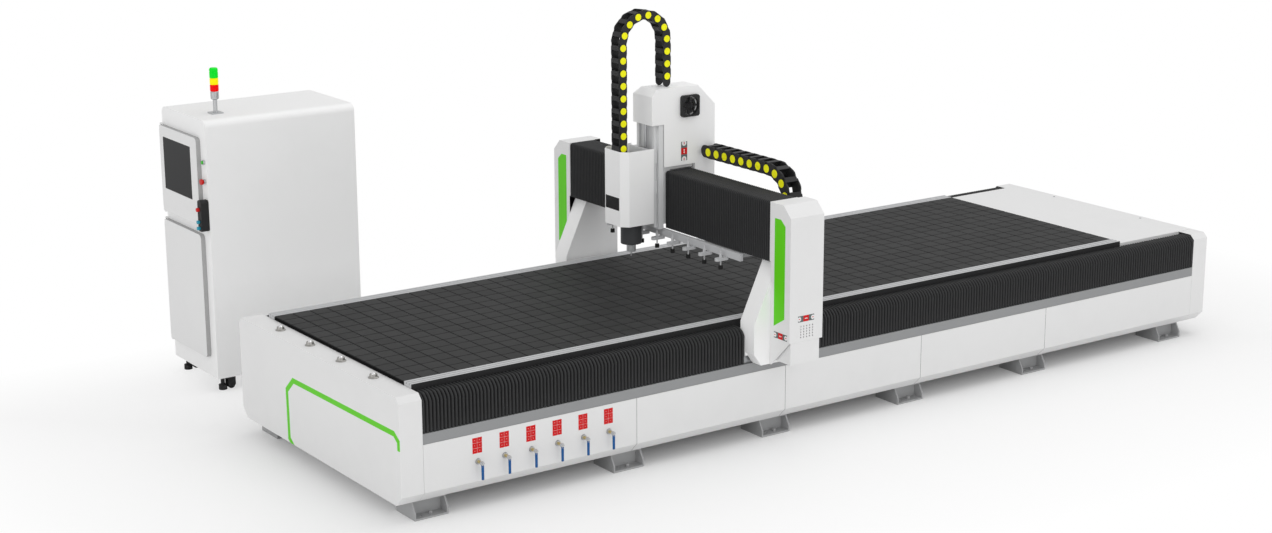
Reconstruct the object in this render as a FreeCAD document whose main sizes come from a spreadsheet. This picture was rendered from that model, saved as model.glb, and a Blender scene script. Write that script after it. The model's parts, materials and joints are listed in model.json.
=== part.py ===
import FreeCAD, Part
import math
import os
import Sketcher
from FreeCAD import Placement, Rotation, Vector
from types import SimpleNamespace

# A long flat-bed CNC router with its control cabinet, in millimetres.
# X runs along the bed from the loading end, Y from the valve side to the
# cabinet side, Z up from the floor. The origin is the middle of the footprint.

# Driving dimensions: all lengths in millimetres, written once and kept in the spreadsheet

LENGTHS = {
    # fits between pieces
    "running_gap": 0.3,
    "shaft_gap": 0.05,
    "stop_gap": 3,
    "panel_gap": 2,
    "sheet_thick": 3,
    "overrun": 5,
    # bed and table
    "bed_long": 6950,
    "bed_wide": 2150,
    "bed_top": 800,
    "skirt_low": 115,
    "skirt_bevel": 65,
    "cover_bevel": 36,
    "left_cover_long": 155,
    "right_cover_long": 145,
    "deck_long": 813,
    "table_low": 762,
    "table_top": 822,
    "deck_margin": 20,
    "deck_inset": 150,
    "panel_end": 1535,
    # bed frame
    "band_low": 484,
    "band_top": 549,
    "beam_low": 360,
    "beam_wide": 115,
    "tube_wall": 8,
    "cross_tall": 130,
    "stringer_inset": 165,
    "stringer_wide": 80,
    "stringer_past_table": 600,
    "post_deep": 50,
    # floor brackets
    "foot_first": 225,
    "foot_second": 1658,
    "foot_fifth_from_end": 1737,
    "foot_last_from_end": 311,
    "foot_wide": 232,
    "foot_deep": 230,
    "foot_tall": 105,
    "foot_inset": 42,
    "foot_base_thick": 12,
    "cheek_thick": 10,
    "cheek_slope_deep": 35,
    "cheek_slope_tall": 60,
    "foot_rib_inset": 80,
    "anchor_inset": 40,
    "anchor_aside": 50,
    "anchor_hole_radius": 9,
    "anchor_bolt_aside": 15,
    "anchor_bolt_radius": 12,
    "anchor_bolt_tall": 18,
    # edge strips, guideway and ball units
    "strip_wide": 86,
    "strip_gap": 6,
    "strip_rise": 2,
    "strip_lip": 20,
    "slot_wide": 12,
    "slot_pitch": 34,
    "slot_deep": 12,
    "guide_end_gap": 10,
    "rail_inset": 75,
    "rail_wide": 30,
    "rail_tall": 26,
    "rack_inset": 20,
    "rack_wide": 25,
    "ball_pitch": 416,
    "ball_from_end": 82,
    "ball_radius": 15,
    "ball_rise": 9,
    "ball_cup_radius": 24,
    "ball_cup_tall": 24,
    "ball_flange_radius": 33,
    "ball_flange_tall": 6,
    # vacuum valves and pipes
    "valve_first": 528,
    "valve_pitch": 190,
    "valve_height": 305,
    "valve_radius": 18,
    "valve_ahead": 8,
    "valve_behind": 52,
    "neck_radius": 10,
    "neck_long": 30,
    "stem_radius": 6,
    "stem_end": 62,
    "lever_eye_radius": 13,
    "lever_eye_end": 58,
    "lever_plate_thick": 4,
    "lever_plate_wide": 18,
    "lever_plate_end": 55,
    "grip_wide": 17,
    "grip_thick": 12,
    "grip_end": 59,
    "grip_top": 19,
    "grip_bottom": 102,
    "grip_bevel": 4,
    "pipe_inset": 90,
    "pipe_radius": 32,
    "pipe_past": 60,
    "branch_radius": 20,
    "riser_inset": 250,
    "hanger_wide": 20,
    # bellows
    "bellows_below_top": 10,
    "bellows_bevel": 45,
    "bellows_reach": 118,
    "bellows_above_band": 3,
    "x_pleat_pitch": 190,
    "y_pleat_pitch": 82,
    "pleat_deep": 14,
    "cloth_thick": 2,
    "beam_bellows_bevel": 16,
    "bellows_drop": 394,
    "bellows_deep": 209,
    # gantry legs, measured from the front of the beam covers
    "gantry_from_left": 2672,
    "leg_thick": 95,
    "leg_inner_reach": 50,
    "leg_top": 1629,
    "leg_shelf_drop": 10,
    "leg_shoulder": 45,
    "leg_head_inset": 60,
    "leg_toe_long": 58,
    "leg_toe_tall": 80,
    "tongue_reach": 115,
    "tongue_drop": 30,
    "foot_block_ahead": 127,
    "foot_block_behind": 318,
    "foot_block_low": 555,
    "carriage_top": 607,
    "carriage_long": 160,
    "carriage_wide": 50,
    "carriage_inset": 12,
    # leg covers
    "leg_reach": 295,
    "leg_bevel": 75,
    "leg_cover_deep": 272,
    "leg_cover_low": 735,
    "apron_reach": 115,
    "motor_box_front": 14,
    "motor_box_back": 250,
    "motor_box_rise": 33,
    "vent_front": 90,
    "vent_rise": 25,
    "vent_column_pitch": 24,
    "vent_row_pitch": 18,
    "vent_side": 7,
    # beam, its guideway and the X drives
    "beam_bottom": 1240,
    "beam_front": 88,
    "beam_deep": 130,
    "beam_below_cover": 30,
    "beam_end_thick": 10,
    "y_rail_low": 1290,
    "y_rail_high": 1540,
    "y_rail_deep": 24,
    "y_rack_low": 1400,
    "y_rack_top": 1430,
    "y_rack_deep": 22,
    "pinion_front": 95,
    "pinion_height": 636,
    "pinion_radius": 36,
    "pinion_wide": 29,
    "pinion_inset": 18,
    "pinion_shaft_radius": 12,
    "pinion_room": 8,
    "motor_side": 84,
    "x_motor_reach": 265,
    # press bar
    "press_ahead": 22,
    "press_deep": 24,
    "press_low": 1180,
    "press_tall": 50,
    "press_near": 195,
    "press_long": 1505,
    "press_guide_front": 118,
    "press_guide_inset": 60,
    "press_guide_radius": 12,
    "press_guide_top": 1560,
    "press_carrier_wide": 60,
    "press_carrier_low": 1195,
    "press_carrier_tall": 27,
    "press_first": 355,
    "press_pitch": 179,
    "press_foot_ahead": 60,
    "press_rod_radius": 5,
    "press_rod_top": 1231,
    "press_sleeve_radius": 10,
    "press_sleeve_top": 1212,
    "press_pad_radius": 15,
    "press_pad_low": 1102,
    "press_pad_tall": 26,
    "press_arm_tall": 20,
    "press_arm_wide": 34,
    "press_arm_ahead": 44,
    "press_arm_behind": 60,
    "press_arm_bevel": 10,
    # saddle
    "saddle_from_near": 1035,
    "saddle_low": 1235,
    "saddle_face_ahead": 67,
    "saddle_face_thick": 40,
    "saddle_face_wide": 256,
    "carrier_inset": 26,
    "carrier_low": 1262,
    "carrier_thick": 65,
    "bridge_rise": 6,
    "bridge_thick": 24,
    "bridge_back": 230,
    "spine_back": 120,
    "spine_narrower": 40,
    "mount_ahead": 122,
    "mount_back": 30,
    "mount_thick": 12,
    "mount_inset": 20,
    "mount_wide": 180,
    "y_block_wide": 70,
    "y_block_around": 14,
    "y_block_deep": 46,
    "z_rail_wide": 24,
    "z_rail_deep": 20,
    "z_rail_aside": 90,
    "z_rail_end_gap": 10,
    "screw_radius": 10,
    "screw_end_gap": 15,
    "y_pinion_radius": 32,
    "y_pinion_wide": 18,
    "y_pinion_inset": 125,
    "y_pinion_shaft_radius": 9,
    "z_motor_side": 64,
    "z_motor_tall": 150,
    "y_motor_front": 240,
    "y_motor_side": 80,
    "y_motor_inset": 60,
    "y_motor_rise": 38,
    "y_motor_tall": 142,
    "y_motor_foot_front": 150,
    # column cover and fan
    "column_wide": 222,
    "column_top": 2195,
    "column_back": 398,
    "column_bevel": 142,
    "column_edge_bevel": 48,
    "column_tail_low": 1480,
    "column_tail_gap": 2,
    "column_lower_ahead": 27,
    "hood_ahead": 126,
    "hood_low": 1955,
    "hood_bevel_tall": 47,
    "hood_bevel_deep": 33,
    "fan_front": 179,
    "fan_drop": 132,
    "fan_side": 146,
    "fan_deep": 26,
    "fan_bevel": 12,
    "fan_rim": 8,
    "fan_opening_radius": 60,
    "fan_hub_radius": 20,
    "fan_hub_long": 6,
    "fan_boss_radius": 22,
    "fan_boss_long": 12,
    "fan_cap_radius": 14,
    "fan_cap_long": 3,
    "fan_spoke_wide": 8,
    "fan_spoke_deep": 4,
    "fan_guard_radius": 38,
    "fan_guard_wide": 4,
    "fan_guard_deep": 2,
    "fan_blade_root": 18,
    "fan_blade_long": 42,
    "fan_blade_wide": 16,
    "fan_blade_thick": 2,
    # head
    "head_wide": 268,
    "head_ahead": 358,
    "head_back": 110,
    "head_low": 1283,
    "head_top": 1797,
    "head_bevel": 45,
    "window_inset": 56,
    "window_wide": 161,
    "window_low": 1392,
    "window_tall": 88,
    "slide_ahead": 124,
    "slide_thick": 16,
    "slide_rise": 7,
    "slide_drop": 12,
    "z_block_wide": 44,
    "z_block_tall": 96,
    "z_block_deep": 38,
    "z_block_rise": 194,
    "z_block_drop": 108,
    "nut_wide": 40,
    "nut_low": 1500,
    "nut_tall": 60,
    "clamp_wide": 180,
    "clamp_ahead": 50,
    "clamp_tall": 36,
    "clamp_low_rise": 30,
    "clamp_high_rise": 210,
    "chain_shelf_drop": 57,
    "chain_shelf_thick": 5,
    "chain_shelf_ahead": 30,
    "spindle_ahead": 207,
    "spindle_radius": 72,
    "spindle_low": 1137,
    "spindle_rise": 290,
    "shaft_radius": 20,
    "shaft_rise": 180,
    "collet_radius": 32,
    "collet_low": 1080,
    "nose_tall": 12,
    "bit_radius": 5,
    "bit_long": 35,
    # cable chains
    "y_chain_wide": 112,
    "y_chain_tall": 86,
    "y_chain_radius": 200,
    "y_chain_height": 1742,
    "y_chain_bend": 300,
    "y_chain_behind_beam": 58,
    "y_link_pitch": 92,
    "trough_thick": 5,
    "trough_gap": 3,
    "trough_tall": 50,
    "trough_near": 200,
    "trough_past_middle": 60,
    "z_chain_wide": 98,
    "z_chain_tall": 62,
    "z_chain_radius": 179,
    "z_chain_bend": 2521,
    "z_chain_rear": 38,
    "z_chain_inset": 55,
    "z_link_pitch": 86,
    "link_space": 2,
    "link_bar_thick": 5,
    # control cabinet
    "cabinet_from_left": 216,
    "cabinet_gap": 871,
    "cabinet_wide": 734,
    "cabinet_deep": 1143,
    "cabinet_low": 100,
    "cabinet_top": 1942,
    "cabinet_round": 53,
    "door_thick": 33,
    "door_margin": 95,
    "door_round": 30,
    "door_lap_near": 20,
    "door_lap_far": 25,
    "screen_door_low": 1192,
    "screen_door_top": 1812,
    "lower_door_low": 240,
    "lower_door_top": 1128,
    "upper_opening_low": 1220,
    "upper_opening_top": 1780,
    "lower_opening_low": 280,
    "lower_opening_top": 1090,
    "hinge_pin_radius": 4,
    "hinge_pin_reach": 13,
    "hinge_lug_thick": 10,
    "hinge_lug_reach": 8,
    "screen_near": 200,
    "screen_wide": 462,
    "screen_low": 1362,
    "screen_tall": 374,
    "screen_deep": 8,
    "screen_set_back": 1,
    # push buttons and pendant
    "button_near": 42,
    "start_height": 1650,
    "stop_height": 1515,
    "start_radius": 12,
    "start_end": 22,
    "stop_radius": 20,
    "stop_end": 36,
    "stop_neck_end": 20,
    "stop_neck_radius": 11,
    "bezel_rim": 6,
    "bezel_long": 14,
    "pendant_near": 6,
    "pendant_wide": 62,
    "pendant_low": 1170,
    "pendant_tall": 218,
    "pendant_thick": 58,
    "pendant_bevel": 12,
    "pendant_stop_height": 1325,
    "pendant_stop_radius": 14,
    "pendant_neck_radius": 8,
    "pendant_neck_deep": 12,
    "pendant_button_long": 22,
    "pendant_line": 37,
    "pendant_knob_radius": 12,
    "pendant_knob_stub": 4,
    "upper_knob_height": 1238,
    "lower_knob_height": 1194,
    # signal tower
    "tower_from_front": 190,
    "tower_from_near": 238,
    "tower_flange_side": 84,
    "tower_flange_tall": 8,
    "tower_tube_radius": 15,
    "tower_tube_top": 100,
    "tower_base_radius": 29,
    "tower_base_top": 156,
    "tower_lens_radius": 30,
    "tower_lens_tall": 46,
    "tower_cap_tall": 26,
    # drives inside the cabinet
    "board_thick": 20,
    "board_inset": 80,
    "board_low": 250,
    "board_top": 1700,
    "drive_wide": 100,
    "drive_pitch": 130,
    "drive_deep": 150,
    "drive_low": 1250,
    "drive_tall": 300,
    "drive_inset": 30,
    "inverter_wide": 260,
    "inverter_deep": 200,
    "inverter_low": 700,
    "inverter_tall": 450,
    "terminals_inset": 40,
    "terminals_deep": 50,
    "terminals_low": 420,
    "terminals_tall": 80,
    # casters
    "caster_from_side": 70,
    "caster_from_end": 90,
    "caster_plate_long": 110,
    "caster_plate_wide": 80,
    "caster_plate_thick": 8,
    "caster_trail": 32,
    "wheel_radius": 27,
    "wheel_wide": 40,
    "wheel_height": 28,
    "hub_radius": 8,
    "fork_gap": 2,
    "fork_thick": 7,
    "fork_long": 56,
    "fork_foot_long": 24,
    "fork_low": 16,
    "pad_radius": 30,
    "pad_tall": 36,
    "pad_ahead": 27,
    "pad_stem_radius": 16,
}

# Counts, and shares that have no unit

INNER_FOOT_COUNT = 4
VALVE_COUNT = 6
BALL_COUNT = 4
VENT_ROWS = 5
VENT_COLUMNS = 5
PRESS_COUNT = 8
BLADE_COUNT = 7
DRIVE_COUNT = 4
LENS_COUNT = 3
SIDES_SMALL = 8
SIDES_MEDIUM = 12
SIDES_LARGE = 16
BLADE_PITCH_DEGREES = 40
BEVEL_SHARE = 0.4
STRINGER_SHARE = 1 / 7
BALL_CROWN_SHARE = 0.5
LINK_PLATE_SHARE = 0.05
LINK_BAR_SHARE = 0.4
LINK_BAR_START_SHARE = 0.3
LINK_NOSE_DEGREES = (60, 0, -60)

doc = FreeCAD.newDocument("flat_bed_router")
sheet = doc.addObject("Spreadsheet::Sheet", "Sizes")
nodes = {}


# Sizes that know their spreadsheet formula

class Size:
    """A number together with the formula that gives it in the spreadsheet."""

    def __init__(self, number, formula):
        self.number = number
        self.formula = formula

    def __add__(self, other):
        return joined(self, "+", other)

    def __radd__(self, other):
        return joined(other, "+", self)

    def __sub__(self, other):
        return joined(self, "-", other)

    def __rsub__(self, other):
        return joined(other, "-", self)

    def __mul__(self, other):
        return joined(self, "*", other)

    def __rmul__(self, other):
        return joined(other, "*", self)

    def __truediv__(self, other):
        return joined(self, "/", other)

    def __neg__(self):
        return joined(0, "-", self)


def as_size(value):
    """Wrap a plain number, and leave a Size as it is."""
    if isinstance(value, Size):
        return value
    return Size(value, f"({value})" if value < 0 else f"{value}")


def joined(left, sign, right):
    """The sum, difference, product or ratio of two sizes."""
    left, right = as_size(left), as_size(right)
    a, b = left.number, right.number
    number = a + b if sign == "+" else a - b if sign == "-" else a * b if sign == "*" else a / b
    return Size(number, f"({left.formula} {sign} {right.formula})")


dim = SimpleNamespace()
for row, (alias, number) in enumerate(LENGTHS.items(), 1):
    sheet.set(f"A{row}", alias)
    sheet.set(f"B{row}", str(number))
    sheet.setAlias(f"B{row}", alias)
    setattr(dim, alias, Size(number, f"Sizes.{alias}"))


# Shape helpers

TURN = {
    "x": Rotation(Vector(0, 1, 0), 90),
    "y": Rotation(Vector(1, 0, 0), -90),
    "z": Rotation(),
}
PLANE_ROLE = {"x": "YZ_Plane", "y": "XZ_Plane", "z": "XY_Plane"}
ACROSS = {"x": ("y", "z"), "y": ("x", "z"), "z": ("x", "y")}


def bind(item, **formulas):
    """Bind properties of an object to sizes; a double underscore means a dot."""
    for path, size in formulas.items():
        item.setExpression(path.replace("__", "."), as_size(size).formula)
    return item


def place(item, x, y, z):
    """Bind where an object stands."""
    return bind(item, Placement__Base__x=x, Placement__Base__y=y, Placement__Base__z=z)


def along(start, length):
    """The span from a start over a length."""
    return start, start + length


def about(centre, width):
    """The span of a width about its centre."""
    return centre - width / 2, centre + width / 2


def box(name, x, y, z):
    """A block between two values along each axis."""
    item = doc.addObject("Part::Box", name)
    bind(item, Length=x[1] - x[0], Width=y[1] - y[0], Height=z[1] - z[0])
    return place(item, x[0], y[0], z[0])


def rod(name, axis, centre, radius, span, sides=0):
    """A cylinder along an axis, or a regular prism if it has a number of sides."""
    if sides:
        item = doc.addObject("Part::Prism", name)
        item.Polygon = sides
        bind(item, Circumradius=radius)
    else:
        item = doc.addObject("Part::Cylinder", name)
        bind(item, Radius=radius)
    item.Placement = Placement(Vector(), TURN[axis])
    bind(item, Height=span[1] - span[0])
    at = dict(zip(ACROSS[axis], centre))
    at[axis] = span[0]
    return place(item, **at)


def bore(name, axis, centre, radius, span):
    """A small many-sided bore whose flats clear a shaft of the given radius."""
    corner_radius = (radius + dim.shaft_gap) / math.cos(math.pi / SIDES_SMALL)
    return rod(name, axis, centre, corner_radius, span, SIDES_SMALL)


def fuse(name, *items):
    """One solid out of touching pieces."""
    item = doc.addObject("Part::MultiFuse", name)
    item.Shapes = list(items)
    item.Refine = True
    return item


def cut(name, base, *tools):
    """The base without the tools."""
    item = doc.addObject("Part::Cut", name)
    item.Base = base
    item.Tool = tools[0] if len(tools) == 1 else fuse(name + "_tools", *tools)
    return item


def group(name, *items):
    """Separate solids that share one node."""
    item = doc.addObject("Part::Compound", name)
    item.Links = list(items)
    return item


def mirrored(name, source, plane_y):
    """The same piece on the other side of a plane across Y."""
    item = doc.addObject("Part::Mirroring", name)
    item.Source = source
    item.Normal = Vector(0, 1, 0)
    return bind(item, Base__y=plane_y)


def prism(name, axis, outline, span):
    """A padded sketch: outline holds pairs across the axis, span runs along it."""
    body = doc.addObject("PartDesign::Body", name)
    sketch = body.newObject("Sketcher::SketchObject", name + "_outline")
    planes = [f for f in body.Origin.OriginFeatures if f.Role == PLANE_ROLE[axis]]
    sketch.AttachmentSupport = [(planes[0], "")]
    sketch.MapMode = "FlatFace"
    outline = [(as_size(a), as_size(b)) for a, b in outline]
    low_a = min((a for a, b in outline), key=lambda size: size.number)
    low_b = min((b for a, b in outline), key=lambda size: size.number)
    points = [Vector(a.number - low_a.number, b.number - low_b.number, 0) for a, b in outline]
    count = len(points)
    for i in range(count):
        sketch.addGeometry(Part.LineSegment(points[i], points[(i + 1) % count]))
    for i in range(count):
        sketch.addConstraint(Sketcher.Constraint("Coincident", i, 2, (i + 1) % count, 1))
    for i, (a, b) in enumerate(outline):
        for size, low, kind, axis_line in ((a, low_a, "DistanceX", -2), (b, low_b, "DistanceY", -1)):
            if abs(size.number - low.number) < 1e-6:
                sketch.addConstraint(Sketcher.Constraint("PointOnObject", i, 1, axis_line))
                continue
            reach = size.number - low.number
            index = sketch.addConstraint(Sketcher.Constraint(kind, -1, 1, i, 1, reach))
            sketch.setExpression(f"Constraints[{index}]", (size - low).formula)
    pad = body.newObject("PartDesign::Pad", name + "_pad")
    pad.Profile = sketch
    bind(pad, Length=span[1] - span[0])
    body.Tip = pad
    at = dict(zip(ACROSS[axis], (low_a, low_b)))
    at[axis] = span[1] if axis == "y" else span[0]
    return place(body, **at)


def bevelled_box(name, axis, x, y, z, bevel):
    """A block whose four edges along one axis are bevelled."""
    spans = {"x": x, "y": y, "z": z}
    (a0, a1), (b0, b1) = (spans[side] for side in ACROSS[axis])
    outline = [
        (a0 + bevel, b0), (a1 - bevel, b0), (a1, b0 + bevel), (a1, b1 - bevel),
        (a1 - bevel, b1), (a0 + bevel, b1), (a0, b1 - bevel), (a0, b0 + bevel),
    ]
    return prism(name, axis, outline, spans[axis])


def rounded_box(name, axis, x, y, z, radius):
    """A block whose four edges along one axis are rounded."""
    spans = {"x": x, "y": y, "z": z}
    first, second = ACROSS[axis]
    inner = {
        first: (spans[first][0] + radius, spans[first][1] - radius),
        second: (spans[second][0] + radius, spans[second][1] - radius),
    }
    pieces = []
    for whole, short in ((first, second), (second, first)):
        sides = dict(spans)
        sides[short] = inner[short]
        pieces.append(box(f"{name}_{whole}", **sides))
    for a in inner[first]:
        for b in inner[second]:
            pieces.append(rod(name + "_corner", axis, (a, b), radius, spans[axis]))
    return fuse(name, *pieces)


# Places that follow from the driving dimensions

left = -dim.bed_long / 2
right = dim.bed_long / 2
middle = -(dim.cabinet_gap + dim.cabinet_wide - dim.leg_reach) / 2
near = middle - dim.bed_wide / 2
far = middle + dim.bed_wide / 2
table_near = near + dim.bellows_reach + dim.strip_gap + dim.strip_wide
table_far = far - dim.bellows_reach - dim.strip_gap - dim.strip_wide
table_left = left + dim.left_cover_long + dim.panel_gap
table_right = right - dim.deck_long
skirts_left = left + dim.left_cover_long
skirts_right = right - dim.right_cover_long
second_foot, fifth_foot = left + dim.foot_second, right - dim.foot_fifth_from_end
foot_pitch = (fifth_foot - second_foot) / (INNER_FOOT_COUNT - 1)
foot_places = [left + dim.foot_first]
foot_places += [second_foot + i * foot_pitch for i in range(INNER_FOOT_COUNT)]
foot_places += [right - dim.foot_last_from_end]
gantry = left + dim.gantry_from_left
foot_front = gantry - dim.foot_block_ahead
foot_back = gantry + dim.foot_block_behind
leg_near = near - dim.leg_thick
leg_far = far + dim.leg_thick
beam_span = (leg_near + dim.beam_end_thick, leg_far - dim.beam_end_thick)
beam_back = gantry + dim.beam_front + dim.beam_deep
pinion_x = gantry + dim.pinion_front
shelf_z = dim.bed_top - dim.leg_shelf_drop
bridge_top = dim.leg_top + dim.bridge_rise + dim.bridge_thick
saddle = near + dim.saddle_from_near
head_middle = saddle + dim.head_wide / 2
carrier_y = (saddle + dim.carrier_inset, saddle + dim.column_wide)
saddle_face = gantry - dim.saddle_face_ahead
screw_x = saddle_face - dim.z_rail_deep
spindle_x = gantry - dim.spindle_ahead
slide_back = gantry - dim.slide_ahead + dim.slide_thick
cabinet_front = left + dim.cabinet_from_left
cabinet_back = cabinet_front + dim.cabinet_deep
cabinet_near = far + dim.cabinet_gap
cabinet_far = cabinet_near + dim.cabinet_wide
door_y = (cabinet_near + dim.door_margin, cabinet_far - dim.panel_gap)
hinge_radius = (dim.door_thick - dim.running_gap) / 2
hinge_at = (cabinet_front - dim.running_gap - hinge_radius, door_y[1] - hinge_radius)


def both_sides(name, near_piece):
    """A piece on the valve side and its mirror image on the cabinet side."""
    return [near_piece, mirrored(name + "_far", near_piece, middle)]


# The bed and its covers

def build_bed_frame():
    """Tube frame: side beams with their outer band, cross tubes, stringers and posts."""
    ends = (left + dim.sheet_thick, right - dim.sheet_thick)
    flank = near + dim.sheet_thick
    inner = flank + dim.beam_wide
    beam = box("side_beam", ends, (flank, inner), (dim.beam_low, dim.band_top))
    band = box("flank_band", (skirts_left, skirts_right), (near, flank), (dim.band_low, dim.band_top))
    pieces = both_sides("side_beam", beam) + both_sides("flank_band", band)
    post_near = near + dim.skirt_bevel + dim.sheet_thick + dim.running_gap
    for i, foot_x in enumerate(foot_places):
        span = about(foot_x, dim.beam_wide)
        across = (inner, far - dim.sheet_thick - dim.beam_wide)
        cross_z = (dim.band_top - dim.cross_tall, dim.band_top)
        tube = box(f"cross_{i}", span, across, cross_z)
        hollow = box(
            f"cross_hollow_{i}", about(foot_x, dim.beam_wide - 2 * dim.tube_wall), across,
            (cross_z[0] + dim.tube_wall, cross_z[1] - dim.tube_wall))
        post = box(
            f"post_{i}", span, along(post_near, dim.post_deep),
            (dim.foot_tall + dim.cheek_thick, dim.beam_low))
        pieces += [cut(f"cross_tube_{i}", tube, hollow), *both_sides(f"post_{i}", post)]
    stringer_x = (left + dim.sheet_thick, table_right + dim.stringer_past_table)
    aside = dim.bed_wide * STRINGER_SHARE
    lines = (near + dim.stringer_inset, middle - aside, middle + aside, far - dim.stringer_inset)
    for i, y in enumerate(lines):
        outer = box(f"stringer_{i}", stringer_x, about(y, dim.stringer_wide), (dim.band_top, dim.table_low))
        hollow = box(
            f"stringer_hollow_{i}", stringer_x, about(y, dim.stringer_wide - 2 * dim.tube_wall),
            (dim.band_top + dim.tube_wall, dim.table_low - dim.tube_wall))
        pieces.append(cut(f"stringer_tube_{i}", outer, hollow))
    return group("bed_frame", *pieces)


def build_bed_feet():
    """Floor brackets with sloping cheeks, each with an anchor hole and a bolt."""
    pieces = []
    front = near + dim.foot_inset
    back = front + dim.foot_deep
    tall, thick = dim.foot_tall, dim.cheek_thick
    anchor_y = front + dim.anchor_inset
    cheek = [
        (front, 0), (back, 0), (back, tall), (front + dim.cheek_slope_deep, tall),
        (front, tall - dim.cheek_slope_tall),
    ]
    for i, x in enumerate(foot_places):
        wide = about(x, dim.foot_wide)
        bracket = fuse(
            f"bracket_{i}",
            box(f"base_plate_{i}", wide, (front, back), (0, dim.foot_base_thick)),
            prism(f"cheek_low_{i}", "x", cheek, along(wide[0], thick)),
            prism(f"cheek_high_{i}", "x", cheek, (wide[1] - thick, wide[1])),
            box(f"back_plate_{i}", wide, along(front + dim.foot_rib_inset, thick), (0, tall)),
            box(f"top_plate_{i}", wide, (front + dim.cheek_slope_deep, back), along(tall, thick)),
        )
        hole = rod(
            f"anchor_hole_{i}", "z", (x - dim.anchor_aside, anchor_y), dim.anchor_hole_radius,
            (-dim.overrun, dim.foot_base_thick + dim.overrun), SIDES_SMALL)
        bolt = rod(
            f"anchor_bolt_{i}", "z", (x + dim.anchor_bolt_aside, anchor_y), dim.anchor_bolt_radius,
            along(dim.foot_base_thick, dim.anchor_bolt_tall), 6)
        pieces += both_sides(f"bracket_{i}", cut(f"bracket_drilled_{i}", bracket, hole))
        pieces += both_sides(f"anchor_bolt_{i}", bolt)
    return group("bed_feet", *pieces)


def cover_section(inset):
    """Outline of the bed across Y, moved inwards by an inset."""
    low, high = near + inset, far - inset
    bevel_low = dim.skirt_bevel - inset * BEVEL_SHARE
    bevel_top = dim.cover_bevel - inset * BEVEL_SHARE
    base, top = dim.skirt_low + inset, dim.bed_top - dim.sheet_thick - inset
    return [
        (low + bevel_low, base), (high - bevel_low, base), (high, base + bevel_low),
        (high, top - bevel_top), (high - bevel_top, top), (low + bevel_top, top),
        (low, top - bevel_top), (low, base + bevel_low),
    ]


def build_end_covers():
    """Bevelled sheet boxes that close both ends of the bed."""
    left_box = prism("left_cover_box", "x", cover_section(0), (left, skirts_left))
    left_hollow = prism(
        "left_cover_hollow", "x", cover_section(dim.sheet_thick), (left + dim.sheet_thick, skirts_left))
    right_box = prism("right_cover_box", "x", cover_section(0), (skirts_right, right))
    right_hollow = prism(
        "right_cover_hollow", "x", cover_section(dim.sheet_thick), (skirts_right, right - dim.sheet_thick))
    return (
        cut("left_end_cover", left_box, left_hollow),
        cut("right_end_cover", right_box, right_hollow),
    )


def build_deck_plate():
    """The smooth plate behind the table, folded down along both edges."""
    front = near + dim.deck_inset
    back = far - dim.deck_inset
    start = table_right + dim.sheet_thick
    under = dim.bed_top - dim.sheet_thick
    top = box("deck_top", (start, right - dim.deck_margin), (front, back), (under, dim.bed_top))
    flange = box("deck_flange", (start, skirts_right), along(front, dim.sheet_thick), (dim.table_low, under))
    return fuse("deck_plate", top, *both_sides("deck_flange", flange))


def skirt_outline():
    """Section of a skirt panel: straight sheet with its lower edge turned in."""
    top = dim.band_low - dim.panel_gap
    crease = dim.skirt_low + dim.skirt_bevel
    thick = dim.sheet_thick
    return [
        (near, top), (near, crease), (near + dim.skirt_bevel, dim.skirt_low),
        (near + dim.skirt_bevel + thick, dim.skirt_low + thick),
        (near + thick, crease + thick * BEVEL_SHARE), (near + thick, top),
    ]


def build_skirts():
    """Five panels along each side; the first on the valve side has valve holes."""
    middle_long = (skirts_right - skirts_left - 2 * dim.panel_end) / 3
    seams = [skirts_left, skirts_left + dim.panel_end]
    seams += [seams[1] + (i + 1) * middle_long for i in range(3)]
    seams += [skirts_right]
    half_gap = dim.panel_gap / 2
    spans = [(seams[i] + half_gap, seams[i + 1] - half_gap) for i in range(5)]
    holes = [
        rod(f"valve_hole_{i}", "y", (valve_x(i), dim.valve_height), dim.valve_radius + half_gap,
            (near - dim.overrun, near + dim.sheet_thick + dim.overrun), SIDES_MEDIUM)
        for i in range(VALVE_COUNT)
    ]
    first = prism("first_panel", "x", skirt_outline(), spans[0])
    panels = [prism(f"near_panel_{i}", "x", skirt_outline(), spans[i]) for i in range(1, 5)]
    far_panels = [mirrored(f"far_panel_{i}", panels[i - 1], middle) for i in range(1, 5)]
    far_first = mirrored("far_panel_0", first, middle)
    return cut("valve_panel", first, *holes), group("side_panels", *panels, far_first, *far_panels)


def build_edge_strips():
    """Aluminium profiles with two slots along both long edges of the table."""
    top = dim.table_top + dim.strip_rise
    floor = top - dim.slot_deep
    y = table_near - dim.strip_wide
    outline = [(y, top), (y, dim.table_low), (table_near, dim.table_low), (table_near, top)]
    for slot in (y + dim.strip_lip + dim.slot_pitch, y + dim.strip_lip):
        end = slot + dim.slot_wide
        outline += [(end, top), (end, floor), (slot, floor), (slot, top)]
    strip = prism("edge_strip", "x", outline, (table_left, table_right))
    return group("edge_strips", *both_sides("edge_strip", strip))


def build_vacuum_table():
    """The phenolic table board between the strips."""
    return box(
        "vacuum_table", (table_left, table_right), (table_near, table_far), (dim.table_low, dim.table_top))


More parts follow.
